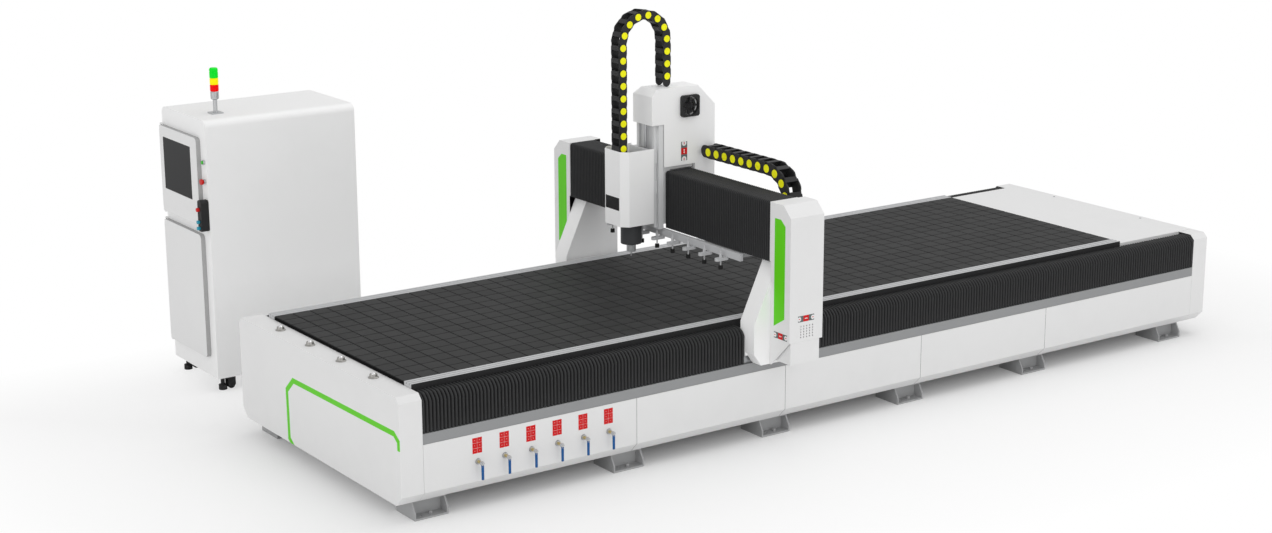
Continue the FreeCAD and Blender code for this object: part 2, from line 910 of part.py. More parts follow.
def build_ball_units():
    """Ball transfer units on the loading end: flange, cup and the ball's crown."""
    pieces = []
    base = dim.bed_top - dim.sheet_thick
    x = left + dim.ball_from_end
    for i in range(BALL_COUNT):
        y = middle + (i - (BALL_COUNT - 1) / 2) * dim.ball_pitch
        crown = doc.addObject("Part::Cone", f"ball_{i}")
        bind(crown, Radius1=dim.ball_radius, Radius2=dim.ball_radius * BALL_CROWN_SHARE, Height=dim.ball_rise)
        place(crown, x, y, base + dim.ball_cup_tall)
        flange = rod(
            f"ball_flange_{i}", "z", (x, y), dim.ball_flange_radius, along(base, dim.ball_flange_tall),
            SIDES_MEDIUM)
        cup = rod(
            f"ball_cup_{i}", "z", (x, y), dim.ball_cup_radius, along(base, dim.ball_cup_tall), SIDES_MEDIUM)
        pieces.append(fuse(f"ball_unit_{i}", flange, cup, crown))
    return group("ball_transfer_units", *pieces)


def build_x_guideway():
    """Rail and toothed rack on top of each side beam."""
    span = (skirts_left + dim.guide_end_gap, skirts_right - dim.guide_end_gap)
    rail = box(
        "x_rail", span, along(near + dim.rail_inset, dim.rail_wide), along(dim.band_top, dim.rail_tall))
    rack = box(
        "x_rack", span, along(near + dim.rack_inset, dim.rack_wide),
        (dim.band_top, dim.pinion_height - dim.pinion_radius))
    return group("x_guideway", *both_sides("x_rail", rail), *both_sides("x_rack", rack))


def valve_x(i):
    """Where valve number i stands along the bed."""
    return left + dim.valve_first + i * dim.valve_pitch


def build_lever(i):
    """A lever: its round stem, eye, strap and dipped grip."""
    x, z = valve_x(i), dim.valve_height
    neck_end = near - dim.valve_ahead - dim.neck_long - dim.running_gap
    plate_end = near - dim.lever_plate_end
    return fuse(
        f"valve_lever_{i + 1}",
        rod(f"lever_stem_{i}", "y", (x, z), dim.stem_radius, (near - dim.stem_end, neck_end)),
        rod(f"lever_eye_{i}", "y", (x, z), dim.lever_eye_radius, (near - dim.lever_eye_end, neck_end), 6),
        box(f"lever_strap_{i}", about(x, dim.lever_plate_wide), along(plate_end, dim.lever_plate_thick),
            (z - dim.grip_bottom / 2, z)),
        bevelled_box(
            f"lever_grip_{i}", "z", about(x, dim.grip_wide), along(near - dim.grip_end, dim.grip_thick),
            (z - dim.grip_bottom, z - dim.grip_top), dim.grip_bevel))


def build_valves():
    """Six vacuum ball valves and the header pipe behind them."""
    bodies, pipes = [], []
    pipe_y = near + dim.pipe_inset
    riser_y = near + dim.riser_inset
    z = dim.valve_height
    body_y = (near - dim.valve_ahead, near + dim.valve_behind)
    for i in range(VALVE_COUNT):
        x = valve_x(i)
        bodies.append(fuse(
            f"valve_{i}",
            rod(f"valve_body_{i}", "y", (x, z), dim.valve_radius, body_y, SIDES_MEDIUM),
            rod(f"valve_neck_{i}", "y", (x, z), dim.neck_radius,
                (body_y[0] - dim.neck_long, body_y[0]), SIDES_SMALL)))
        pipes += [
            rod(f"pipe_seat_{i}", "y", (x, z), dim.valve_radius, (body_y[1], pipe_y), SIDES_MEDIUM),
            rod(f"branch_{i}", "y", (x, z), dim.branch_radius, (pipe_y, riser_y), SIDES_SMALL),
            rod(f"riser_{i}", "z", (x, riser_y), dim.branch_radius,
                (z - dim.branch_radius, dim.table_low), SIDES_SMALL),
        ]
    header_x = (valve_x(0) - dim.pipe_past, valve_x(VALVE_COUNT - 1) + dim.pipe_past)
    header = rod("header_pipe", "x", (pipe_y, z), dim.pipe_radius, header_x, SIDES_MEDIUM)
    hangers = [
        box(f"hanger_{i}", about((valve_x(i) + valve_x(i + 1)) / 2, dim.hanger_wide),
            about(pipe_y, dim.hanger_wide), (z, dim.beam_low))
        for i in (0, 2, 4)
    ]
    return group("ball_valves", *bodies), fuse("vacuum_manifold", header, *hangers, *pipes)


# Pleated bellows

def pleated_shell(name, axis, section, span, pleats):
    """A folded cover: the section of the ridges, folded inwards to the valleys."""
    depth, wall = dim.pleat_deep.number, dim.cloth_thick.number

    def moved(points, inwards):
        """The open outline moved inwards, its corners mitred."""
        edges = [(points[i + 1] - points[i]).normalize() for i in range(len(points) - 1)]
        sides = [Vector(-edge.y, edge.x, 0) for edge in edges]
        result = [points[0] + sides[0] * inwards]
        for i in range(1, len(points) - 1):
            mitre = (sides[i - 1] + sides[i]).normalize()
            result.append(points[i] + mitre * (inwards / mitre.dot(sides[i])))
        return result + [points[-1] + sides[-1] * inwards]

    ridge = [Vector(a.number, b.number, 0) for a, b in section]
    rings = [(moved(ridge, 0), moved(ridge, wall)), (moved(ridge, depth), moved(ridge, depth + wall))]
    start, stop = span[0].number, span[1].number
    stations = 2 * pleats + 1

    def point(station, layer, i):
        """Corner i of the outer or inner layer at one fold."""
        flat = rings[station % 2][layer][i]
        reach = start + (stop - start) * station / (stations - 1)
        return Vector(reach, flat.x, flat.y) if axis == "x" else Vector(flat.x, reach, flat.y)

    def face(*corners):
        return Part.Face(Part.makePolygon(list(corners) + [corners[0]]))

    faces = []
    last = len(ridge) - 1
    for station in (0, stations - 1):
        outer = [point(station, 0, i) for i in range(last + 1)]
        inner = [point(station, 1, i) for i in range(last, -1, -1)]
        faces.append(face(*outer, *inner))
    for j in range(stations - 1):
        for layer in (0, 1):
            for i in range(last):
                faces.append(face(
                    point(j, layer, i), point(j, layer, i + 1),
                    point(j + 1, layer, i + 1), point(j + 1, layer, i)))
        for i in (0, last):
            faces.append(face(point(j, 0, i), point(j + 1, 0, i), point(j + 1, 1, i), point(j, 1, i)))
    solid = Part.Solid(Part.Shell(faces))
    if solid.Volume < 0:
        solid.reverse()
    item = doc.addObject("Part::Feature", name)
    item.Shape = solid
    return item


def pleats_over(span, pitch):
    """How many whole pleats of about one pitch fill a span."""
    return round((span[1] - span[0]).number / pitch.number)


def build_x_bellows():
    """Bellows over the rails, from both ends of the bed to the gantry legs."""
    top, bevel = dim.bed_top - dim.bellows_below_top, dim.bellows_bevel
    low = dim.band_top + dim.bellows_above_band
    near_section = [(near + dim.bellows_reach, top), (near + bevel, top), (near, top - bevel), (near, low)]
    far_section = [(far, low), (far, top - bevel), (far - bevel, top), (far - dim.bellows_reach, top)]
    pieces = []
    for name, span in (("left", (skirts_left, foot_front)), ("right", (foot_back, skirts_right))):
        pleats = pleats_over(span, dim.x_pleat_pitch)
        pieces.append(group(
            f"{name}_x_bellows",
            pleated_shell(f"{name}_near_bellows", "x", near_section, span, pleats),
            pleated_shell(f"{name}_far_bellows", "x", far_section, span, pleats)))
    return pieces


def build_y_bellows():
    """Bellows over the beam, from both leg covers to the saddle."""
    top, bevel = dim.leg_top, dim.beam_bellows_bevel
    section = [
        (gantry + dim.bellows_deep, top), (gantry + bevel, top), (gantry, top - bevel),
        (gantry, top - dim.bellows_drop),
    ]
    pieces = []
    for name, span in (("near", (beam_span[0], carrier_y[0])), ("far", (carrier_y[1], beam_span[1]))):
        pieces.append(pleated_shell(
            f"{name}_y_bellows", "y", section, span, pleats_over(span, dim.y_pleat_pitch)))
    return pieces


# The gantry

def build_gantry_legs():
    """Cast legs that stand on the carriages and reach round the bed's edge."""
    shelf, low = shelf_z, dim.foot_block_low
    under = shelf - dim.tongue_drop
    lower = prism(
        "leg_lower", "y",
        [(foot_front, shelf), (foot_front, low + dim.leg_toe_tall), (foot_front + dim.leg_toe_long, low),
         (foot_back, low), (foot_back, shelf)],
        (leg_near, near - dim.sheet_thick))
    tongue = box(
        "leg_tongue", (foot_front, foot_back), (near - dim.sheet_thick, near + dim.tongue_reach),
        (dim.carriage_top, under))
    upper = prism(
        "leg_upper", "y",
        [(foot_front, under), (foot_front, shelf + dim.leg_shoulder),
         (gantry + dim.leg_head_inset, dim.beam_bottom), (foot_back, dim.beam_bottom), (foot_back, under)],
        (leg_near, near + dim.leg_inner_reach))
    at = (pinion_x, dim.pinion_height)
    pocket_near = near + dim.pinion_inset - dim.pinion_room
    pocket = rod(
        "pinion_pocket", "y", at, dim.pinion_radius + dim.pinion_room,
        along(pocket_near, dim.pinion_wide + 2 * dim.pinion_room), SIDES_LARGE)
    shaft_hole = bore(
        "pinion_shaft_hole", "y", at, dim.pinion_shaft_radius,
        (leg_near - dim.overrun, pocket_near + dim.overrun))
    leg = cut("gantry_leg", fuse("leg_blank", lower, tongue, upper), pocket, shaft_hole)
    return group("gantry_legs", *both_sides("gantry_leg", leg))


def press_guide_places():
    """The two guide rods of the press bar stand at these places."""
    x = gantry + dim.press_guide_front
    start, end = press_span()
    return [(x, start + dim.press_guide_inset), (x, end - dim.press_guide_inset)]


def press_span():
    """The press bar runs across the table between these two values."""
    return along(near + dim.press_near, dim.press_long)


def y_chain_x():
    """The Y chain runs behind the beam between these two planes."""
    return along(beam_back + dim.y_chain_behind_beam, dim.y_chain_wide)


def build_gantry_beam():
    """Hollow beam, its end plates and the trough of the Y chain."""
    x = (gantry + dim.beam_front, beam_back)
    z = (dim.beam_bottom, dim.leg_top - dim.beam_below_cover)
    wall = dim.tube_wall
    outer = box("beam_outer", x, beam_span, z)
    inner = box("beam_inner", (x[0] + wall, x[1] - wall), beam_span, (z[0] + wall, z[1] - wall))
    holes = [
        rod(f"guide_hole_{i}", "z", at, dim.press_guide_radius + dim.shaft_gap,
            (z[0] - dim.overrun, z[0] + wall + dim.overrun))
        for i, at in enumerate(press_guide_places())
    ]
    plates = both_sides("beam_end", box(
        "beam_end", (gantry, beam_back), (leg_near, beam_span[0]), (dim.beam_bottom, dim.leg_top)))
    wall_x = y_chain_x()[1] + dim.trough_gap
    trough_y = (near + dim.trough_near, middle + dim.trough_past_middle)
    floor_z = dim.y_chain_height - 2 * dim.y_chain_radius - dim.y_chain_tall / 2
    trough = [
        box("trough_floor", (beam_back, wall_x + dim.trough_thick), trough_y,
            (floor_z - dim.trough_thick, floor_z)),
        box("trough_wall", along(wall_x, dim.trough_thick), trough_y, along(floor_z, dim.trough_tall)),
    ]
    return group("gantry_beam", cut("beam_tube", outer, inner, *holes), *plates, *trough)


def build_x_carriages():
    """Two rail carriages under each leg."""
    pieces = []
    gap = dim.running_gap
    rail_y = near + dim.rail_inset
    low = dim.band_top + dim.overrun
    ends = (foot_front + dim.carriage_inset, foot_back - dim.carriage_inset - dim.carriage_long)
    for i, start in enumerate(ends):
        x = along(start, dim.carriage_long)
        block = box(
            f"x_block_{i}", x, about(rail_y + dim.rail_wide / 2, dim.carriage_wide), (low, dim.carriage_top))
        slot = box(
            f"x_slot_{i}", x, (rail_y - gap, rail_y + dim.rail_wide + gap),
            (low, dim.band_top + dim.rail_tall + gap))
        pieces += both_sides(f"x_carriage_{i}", cut(f"x_carriage_{i}", block, slot))
    return group("x_carriages", *pieces)


def build_leg_covers():
    """Bevelled sheet covers outside the legs, each over a smaller motor box."""
    outer = near - dim.leg_reach
    wall = dim.sheet_thick
    deep = along(gantry, dim.leg_cover_deep)

    def section(inset):
        """The cover seen along the bed; the side towards the leg is open."""
        top, low = dim.leg_top - inset, dim.leg_cover_low + inset
        bevel = dim.leg_bevel - inset * BEVEL_SHARE
        side = outer + inset
        return [(leg_near, top), (side + bevel, top), (side, top - bevel), (side, low), (leg_near, low)]

    shell = prism("leg_cover_box", "x", section(0), deep)
    hollow = prism("leg_cover_hollow", "x", section(wall), (deep[0] + wall, deep[1] - wall))
    apron = prism(
        "leg_apron", "x",
        [(leg_near, dim.leg_cover_low), (outer, dim.leg_cover_low),
         (near - dim.apron_reach, dim.foot_block_low), (leg_near, dim.foot_block_low)],
        along(gantry, wall))
    box_x = (gantry + dim.motor_box_front, gantry + dim.motor_box_back)
    box_low = dim.foot_block_low + dim.motor_box_rise
    motor_box = box("motor_box", box_x, (outer + wall, leg_near), (box_low, dim.leg_cover_low))
    motor_space = box(
        "motor_space", (box_x[0] + wall, box_x[1] - wall), (outer + 2 * wall, leg_near),
        (box_low + wall, dim.leg_cover_low + wall + dim.overrun))
    cover = cut("leg_cover", fuse("leg_cover_blank", shell, apron, motor_box), hollow, motor_space)
    vents = [
        box(f"vent_{row}_{column}",
            along(gantry + dim.vent_front + column * dim.vent_column_pitch, dim.vent_side),
            (outer - dim.overrun, outer + wall + dim.overrun),
            along(dim.leg_cover_low + dim.vent_rise + row * dim.vent_row_pitch, dim.vent_side))
        for row in range(VENT_ROWS) for column in range(VENT_COLUMNS)
    ]
    near_cover = cut("near_leg_cover", cover, *vents)
    return group("leg_covers", near_cover, mirrored("far_leg_cover", cover, middle))


def build_y_guideway():
    """Two rails and a rack along the front of the beam."""
    back = gantry + dim.beam_front
    rails = [
        box(f"y_rail_{i}", (back - dim.y_rail_deep, back), beam_span, along(z, dim.rail_tall))
        for i, z in enumerate((dim.y_rail_low, dim.y_rail_high))
    ]
    rack = box("y_rack", (back - dim.y_rack_deep, back), beam_span, (dim.y_rack_low, dim.y_rack_top))
    return group("y_guideway", *rails, rack)


def build_x_drives():
    """A motor outside each leg and its pinion on the rack, on one axle line."""
    at = (pinion_x, dim.pinion_height)
    motor = box(
        "x_motor", about(pinion_x, dim.motor_side), (near - dim.x_motor_reach, leg_near),
        about(dim.pinion_height, dim.motor_side))
    wheel = rod(
        "x_pinion_wheel", "y", at, dim.pinion_radius - dim.running_gap,
        along(near + dim.pinion_inset, dim.pinion_wide), SIDES_LARGE)
    shaft = rod("x_pinion_shaft", "y", at, dim.pinion_shaft_radius, (leg_near, near + dim.pinion_inset))
    pinion = fuse("x_pinion", wheel, shaft)
    return (
        group("x_motors", *both_sides("x_motor", motor)),
        group("x_pinions", *both_sides("x_pinion", pinion)),
    )


def build_press():
    """The press bar under the beam with its guide rods, and its sprung feet."""
    front, back = gantry - dim.press_ahead, gantry - dim.press_ahead + dim.press_deep
    pieces = [box("press_beam", (front, back), press_span(), along(dim.press_low, dim.press_tall))]
    carrier_z = along(dim.press_carrier_low, dim.press_carrier_tall)
    for i, (x, y) in enumerate(press_guide_places()):
        pieces.append(box(
            f"press_carrier_{i}", (back, x + dim.press_carrier_wide / 2), about(y, dim.press_carrier_wide),
            carrier_z))
        pieces.append(rod(
            f"press_guide_{i}", "z", (x, y), dim.press_guide_radius, (carrier_z[1], dim.press_guide_top)))
    feet = [build_press_foot(i) for i in range(PRESS_COUNT)]
    return group("press_bar", *pieces), group("press_feet", *feet)


def build_press_foot(i):
    """One foot: an arm under the bar, a sleeve and rod standing on it, a pad below."""
    x, y = gantry - dim.press_foot_ahead, near + dim.press_first + i * dim.press_pitch
    pad_z = along(dim.press_pad_low, dim.press_pad_tall)
    arm_z = (dim.press_low - dim.press_arm_tall, dim.press_low)
    return fuse(
        f"press_foot_{i}",
        rod(f"foot_rod_{i}", "z", (x, y), dim.press_rod_radius, (pad_z[1], dim.press_rod_top), SIDES_SMALL),
        rod(f"foot_sleeve_{i}", "z", (x, y), dim.press_sleeve_radius, (arm_z[1], dim.press_sleeve_top),
            SIDES_SMALL),
        rod(f"foot_pad_{i}", "z", (x, y), dim.press_pad_radius, pad_z, SIDES_MEDIUM),
        bevelled_box(
            f"foot_arm_{i}", "z", (x - dim.press_arm_ahead, x + dim.press_arm_behind),
            about(y, dim.press_arm_wide), arm_z, dim.press_arm_bevel))


# Cable chains

def chain_link(pitch, wide, radius):
    """One link from its first pin along +X: side plates stepped in at one end, two bars."""
    wall = LINK_PLATE_SHARE * wide
    space, bar_thick = dim.link_space.number, dim.link_bar_thick.number

    def plate(outline, side):
        """A plate with the given outline, its outer face at a distance from the middle."""
        wire = Part.makePolygon([Vector(x, side, z) for x, z in outline + outline[:1]])
        return Part.Face(wire).extrude(Vector(0, wall, 0))

    turns = [math.radians(angle) for angle in LINK_NOSE_DEGREES]
    nose = [(pitch + radius * math.cos(a), radius * math.sin(a)) for a in turns]
    tail = [(-radius * math.cos(a), radius * math.sin(a)) for a in turns]
    outer = nose + [(radius + space, -radius), (radius + space, radius)]
    inner = tail + [(pitch - radius - space, -radius), (pitch - radius - space, radius)]
    plates = [
        plate(outer, wide / 2 - wall), plate(inner, wide / 2 - 2 * wall),
        plate(outer, -wide / 2), plate(inner, -wide / 2 + wall),
    ]
    bar = Part.makeBox(
        LINK_BAR_SHARE * pitch, wide - 4 * wall, bar_thick,
        Vector(LINK_BAR_START_SHARE * pitch, -wide / 2 + 2 * wall, radius - bar_thick))
    low_bar = bar.translated(Vector(0, 0, bar_thick - 2 * radius))
    return plates[0].fuse(plates[1:] + [bar, low_bar]).removeSplitter()


def nose_reach(radius):
    """How far the flat nose of a link stands beyond its pin."""
    return radius * math.cos(math.radians(LINK_NOSE_DEGREES[1]))


def link_between(link, start, stop, across):
    """The link moved so that its pins lie on two points of the path."""
    ahead = (stop - start).normalize()
    up = ahead.cross(across)
    frame = FreeCAD.Matrix(
        ahead.x, across.x, up.x, start.x,
        ahead.y, across.y, up.y, start.y,
        ahead.z, across.z, up.z, start.z,
        0, 0, 0, 1)
    return link.transformed(frame)


def chain(name, total, wanted_pitch, wide, radius, across, place_at):
    """Equal links set one after another along a path that gives a place for each length."""
    count = round(total / wanted_pitch.number)
    pitch = total / count
    link = chain_link(pitch, wide.number, radius)
    pins = [place_at(i * pitch) for i in range(count + 1)]
    links = [link_between(link, pins[i], pins[i + 1], across) for i in range(count)]
    item = doc.addObject("Part::Feature", name)
    item.Shape = Part.makeCompound(links)
    return item


def build_y_chain():
    """Loop from the saddle towards the valve side, back in the trough below."""
    x = (y_chain_x()[0] + dim.y_chain_wide / 2).number
    link_radius = dim.y_chain_tall.number / 2
    start = (saddle - dim.running_gap).number - nose_reach(link_radius)
    bend = (near + dim.y_chain_bend).number
    high, radius = dim.y_chain_height.number, dim.y_chain_radius.number
    upper = start - bend
    arc = math.pi * radius

    def place_at(length):
        if length < upper:
            return Vector(x, start - length, high)
        if length < upper + arc:
            angle = (length - upper) / radius
            return Vector(x, bend - radius * math.sin(angle), high - radius + radius * math.cos(angle))
        return Vector(x, bend + length - upper - arc, high - 2 * radius)

    total = upper + arc + middle.number - bend
    return chain(
        "y_cable_chain", total, dim.y_link_pitch, dim.y_chain_wide, link_radius, Vector(1, 0, 0), place_at)


def build_z_chain():
    """Arch from the top of the column over to the top of the head."""
    y = (saddle + dim.z_chain_inset + dim.z_chain_wide / 2).number
    rear = (gantry + dim.z_chain_rear).number
    radius = dim.z_chain_radius.number
    link_radius = dim.z_chain_tall.number / 2
    foot = (dim.column_top + dim.running_gap).number + nose_reach(link_radius)
    end = (dim.head_top - dim.chain_shelf_drop + dim.running_gap).number + nose_reach(link_radius)
    bend = dim.z_chain_bend.number
    upper = bend - foot
    arc = math.pi * radius

    def place_at(length):
        if length < upper:
            return Vector(rear, y, foot + length)
        if length < upper + arc:
            angle = (length - upper) / radius
            return Vector(rear - radius + radius * math.cos(angle), y, bend + radius * math.sin(angle))
        return Vector(rear - 2 * radius, y, bend - (length - upper - arc))

    total = upper + arc + bend - end
    return chain(
        "z_cable_chain", total, dim.z_link_pitch, dim.z_chain_wide, link_radius, Vector(0, -1, 0), place_at)


# The saddle that runs along the beam

def build_saddle_frame():
    """Face plate, carrier, top bridge, spine, rail blocks and Z rails."""
    gap = dim.running_gap
    face_back = saddle_face + dim.saddle_face_thick
    carrier_back = face_back + dim.carrier_thick
    bridge_low = dim.leg_top + dim.bridge_rise
    mount_z = along(dim.hood_low, dim.mount_thick)
    mount = box(
        "z_motor_mount", (gantry - dim.mount_ahead, gantry + dim.mount_back),
        along(saddle + dim.mount_inset, dim.mount_wide), mount_z)
    screw_hole = bore(
        "z_screw_hole", "z", (screw_x, head_middle), dim.screw_radius,
        (mount_z[0] - dim.overrun, mount_z[1] + dim.overrun))
    pieces = [
        box("face_plate", (saddle_face, face_back), about(head_middle, dim.saddle_face_wide),
            (dim.saddle_low, dim.hood_low - dim.panel_gap - gap)),
        box("carrier", (face_back, carrier_back), carrier_y, (dim.carrier_low, bridge_low)),
        box("bridge", (face_back, gantry + dim.bridge_back), carrier_y, (bridge_low, bridge_top)),
        box("spine", (face_back, gantry + dim.spine_back), (carrier_y[0], carrier_y[1] - dim.spine_narrower),
            (bridge_top, dim.hood_low)),
        cut("drilled_mount", mount, screw_hole),
    ]
    rail_front = gantry + dim.beam_front - dim.y_rail_deep
    for i, z in enumerate((dim.y_rail_low, dim.y_rail_high)):
        for j, y in enumerate((carrier_y[0], carrier_y[1] - dim.y_block_wide)):
            block_y = along(y, dim.y_block_wide)
            block = box(
                f"y_block_{i}_{j}", along(carrier_back, dim.y_block_deep), block_y,
                (z - dim.y_block_around, z + dim.rail_tall + dim.y_block_around))
            slot = box(
                f"y_slot_{i}_{j}", (rail_front - gap, rail_front + dim.y_rail_deep), block_y,
                (z - gap, z + dim.rail_tall + gap))
            pieces.append(cut(f"y_carriage_{i}_{j}", block, slot))
    for i, side in enumerate((-dim.z_rail_aside, dim.z_rail_aside)):
        pieces.append(box(
            f"z_rail_{i}", (screw_x, saddle_face), about(head_middle + side, dim.z_rail_wide),
            (dim.saddle_low + dim.z_rail_end_gap, dim.hood_low - dim.z_rail_end_gap)))
    return group("saddle_frame", *pieces)


def column_outline(inset):
    """Side view of the column cover: hood in front, tail behind the beam."""
    front = gantry - dim.hood_ahead + inset
    back = gantry + dim.column_back - inset
    top = dim.column_top - inset
    bevel = dim.column_bevel + inset * BEVEL_SHARE
    tail_front = gantry + dim.bridge_back + dim.column_tail_gap + inset
    lower_front = gantry - dim.column_lower_ahead
    floor = bridge_top + dim.running_gap
    hood_floor = dim.hood_low - dim.panel_gap
    return [
        (front, hood_floor), (front, top - dim.hood_bevel_tall), (front + dim.hood_bevel_deep, top),
        (back - bevel, top), (back, top - bevel), (back, dim.column_tail_low),
        (tail_front, dim.column_tail_low), (tail_front, floor), (lower_front, floor),
        (lower_front, hood_floor),
    ]


def build_column_cover():
    """White sheet cover round the column and the Z motor, with one bevelled long edge."""
    y = along(saddle, dim.column_wide)
    thick, bevel, top = dim.sheet_thick, dim.column_edge_bevel, dim.column_top
    shell = prism("column_box", "y", column_outline(0), y)
    hollow = prism("column_hollow", "y", column_outline(thick), (y[0] + thick, y[1] - thick))
    x, z = fan_centre()
    opening = rod(
        "fan_opening", "y", (x, z), dim.fan_opening_radius,
        (saddle - dim.overrun, saddle + thick + dim.overrun), SIDES_MEDIUM)
    past = dim.overrun
    corner = prism(
        "column_corner", "x",
        [(y[1] - bevel - past, top + past), (y[1] + past, top + past), (y[1] + past, top - bevel - past)],
        (gantry - dim.hood_ahead - past, gantry + dim.column_back + past))
    plate = prism(
        "column_corner_plate", "x",
        [(y[1] - bevel, top), (y[1], top - bevel), (y[1], top - bevel - past), (y[1] - bevel - past, top)],
        (gantry - dim.hood_ahead + dim.hood_bevel_deep + thick,
         gantry + dim.column_back - dim.column_bevel - thick))
    return fuse("column_cover", cut("column_shell", shell, hollow, corner, opening), plate)


def fan_centre():
    """Centre of the cooling fan on the side of the column."""
    return gantry + dim.fan_front, dim.column_top - dim.fan_drop


def build_fan_housing():
    """Square fan frame on the column's side with spokes, hub and finger guard."""
    x, z = fan_centre()
    side = dim.fan_side
    front = saddle - dim.fan_deep
    bar_long = side - dim.fan_rim
    frame = bevelled_box("fan_frame", "y", about(x, side), (front, saddle), about(z, side), dim.fan_bevel)
    opening = rod(
        "fan_bore", "y", (x, z), side / 2 - dim.fan_rim, (front - dim.overrun, saddle + dim.overrun),
        SIDES_LARGE)
    guard_y = along(front, dim.fan_guard_deep)
    ring = cut(
        "fan_guard_ring",
        rod("guard_outer", "y", (x, z), dim.fan_guard_radius, guard_y, SIDES_MEDIUM),
        rod("guard_inner", "y", (x, z), dim.fan_guard_radius - dim.fan_guard_wide, guard_y, SIDES_MEDIUM))
    spoke_y = (saddle - dim.fan_spoke_deep, saddle)
    return fuse(
        "fan_housing", cut("fan_open_frame", frame, opening), ring,
        rod("fan_hub", "y", (x, z), dim.fan_hub_radius, (saddle - dim.fan_hub_long, saddle), SIDES_MEDIUM),
        box("fan_spoke", about(x, bar_long), spoke_y, about(z, dim.fan_spoke_wide)),
        box("fan_upright", about(x, dim.fan_spoke_wide), spoke_y, about(z, bar_long)),
        box("guard_bar", about(x, bar_long), guard_y, about(z, dim.fan_guard_wide)),
        box("guard_upright", about(x, dim.fan_guard_wide), guard_y, about(z, bar_long)))


def build_fan_rotor():
    """Boss with a round cap and pitched blades, turning in front of the hub."""
    x, z = fan_centre()
    boss_end = saddle - dim.fan_hub_long - dim.running_gap
    boss_front = boss_end - dim.fan_boss_long
    boss = rod("rotor_boss", "y", (x, z), dim.fan_boss_radius, (boss_front, boss_end), SIDES_MEDIUM)
    cap = rod("rotor_cap", "y", (x, z), dim.fan_cap_radius, (boss_front - dim.fan_cap_long, boss_front))
    root, thick, wide = dim.fan_blade_root, dim.fan_blade_thick, dim.fan_blade_wide
    centre = Vector(x.number, (boss_end - dim.fan_boss_long / 2).number, z.number)
    corner = Vector(root.number, -thick.number / 2, -wide.number / 2)
    blades = []
    for i in range(BLADE_COUNT):
        blade = doc.addObject("Part::Box", f"fan_blade_{i}")
        bind(blade, Length=dim.fan_blade_long, Width=thick, Height=wide)
        spin = Rotation(Vector(0, 1, 0), i * 360 / BLADE_COUNT)
        turn = spin.multiply(Rotation(Vector(1, 0, 0), BLADE_PITCH_DEGREES))
        blade.Placement = Placement(centre + turn.multVec(corner), turn)
        blades.append(blade)
    return fuse("fan_rotor", boss, cap, *blades)


def build_saddle_motors():
    """Z motor above the screw, Y motor behind the carrier."""
    z_motor = box(
        "z_motor", about(screw_x, dim.z_motor_side), about(head_middle, dim.z_motor_side),
        along(dim.hood_low + dim.mount_thick, dim.z_motor_tall))
    x_end = gantry + dim.y_motor_front + dim.y_motor_side
    y = along(saddle + dim.y_motor_inset, dim.y_motor_side)
    base = dim.leg_top + dim.y_motor_rise
    y_motor = box("y_motor", (gantry + dim.y_motor_front, x_end), y, along(base, dim.y_motor_tall))
    foot = box(
        "y_motor_foot", (gantry + dim.y_motor_foot_front, x_end), y, (bridge_top + 2 * dim.running_gap, base))
    return group("saddle_motors", z_motor, fuse("y_motor_unit", y_motor, foot))


def build_z_screw():
    """Ball screw that drives the head."""
    return rod(
        "z_screw", "z", (screw_x, head_middle), dim.screw_radius,
        (dim.saddle_low + dim.screw_end_gap, dim.hood_low + dim.mount_thick))


def build_y_pinion():
    """Pinion on the beam's rack, its axle standing in front of the carrier."""
    at = (saddle + dim.y_pinion_inset, dim.y_rack_top + dim.y_pinion_radius)
    wheel_x = gantry + dim.beam_front - dim.y_rack_deep
    axle_x = saddle_face + dim.saddle_face_thick + dim.carrier_thick + dim.running_gap
    wheel = rod(
        "y_pinion_wheel", "x", at, dim.y_pinion_radius - dim.running_gap,
        along(wheel_x, dim.y_pinion_wide), SIDES_LARGE)
    axle = rod("y_pinion_axle", "x", at, dim.y_pinion_shaft_radius, (axle_x, wheel_x))
    return fuse("y_pinion", wheel, axle)


# The head

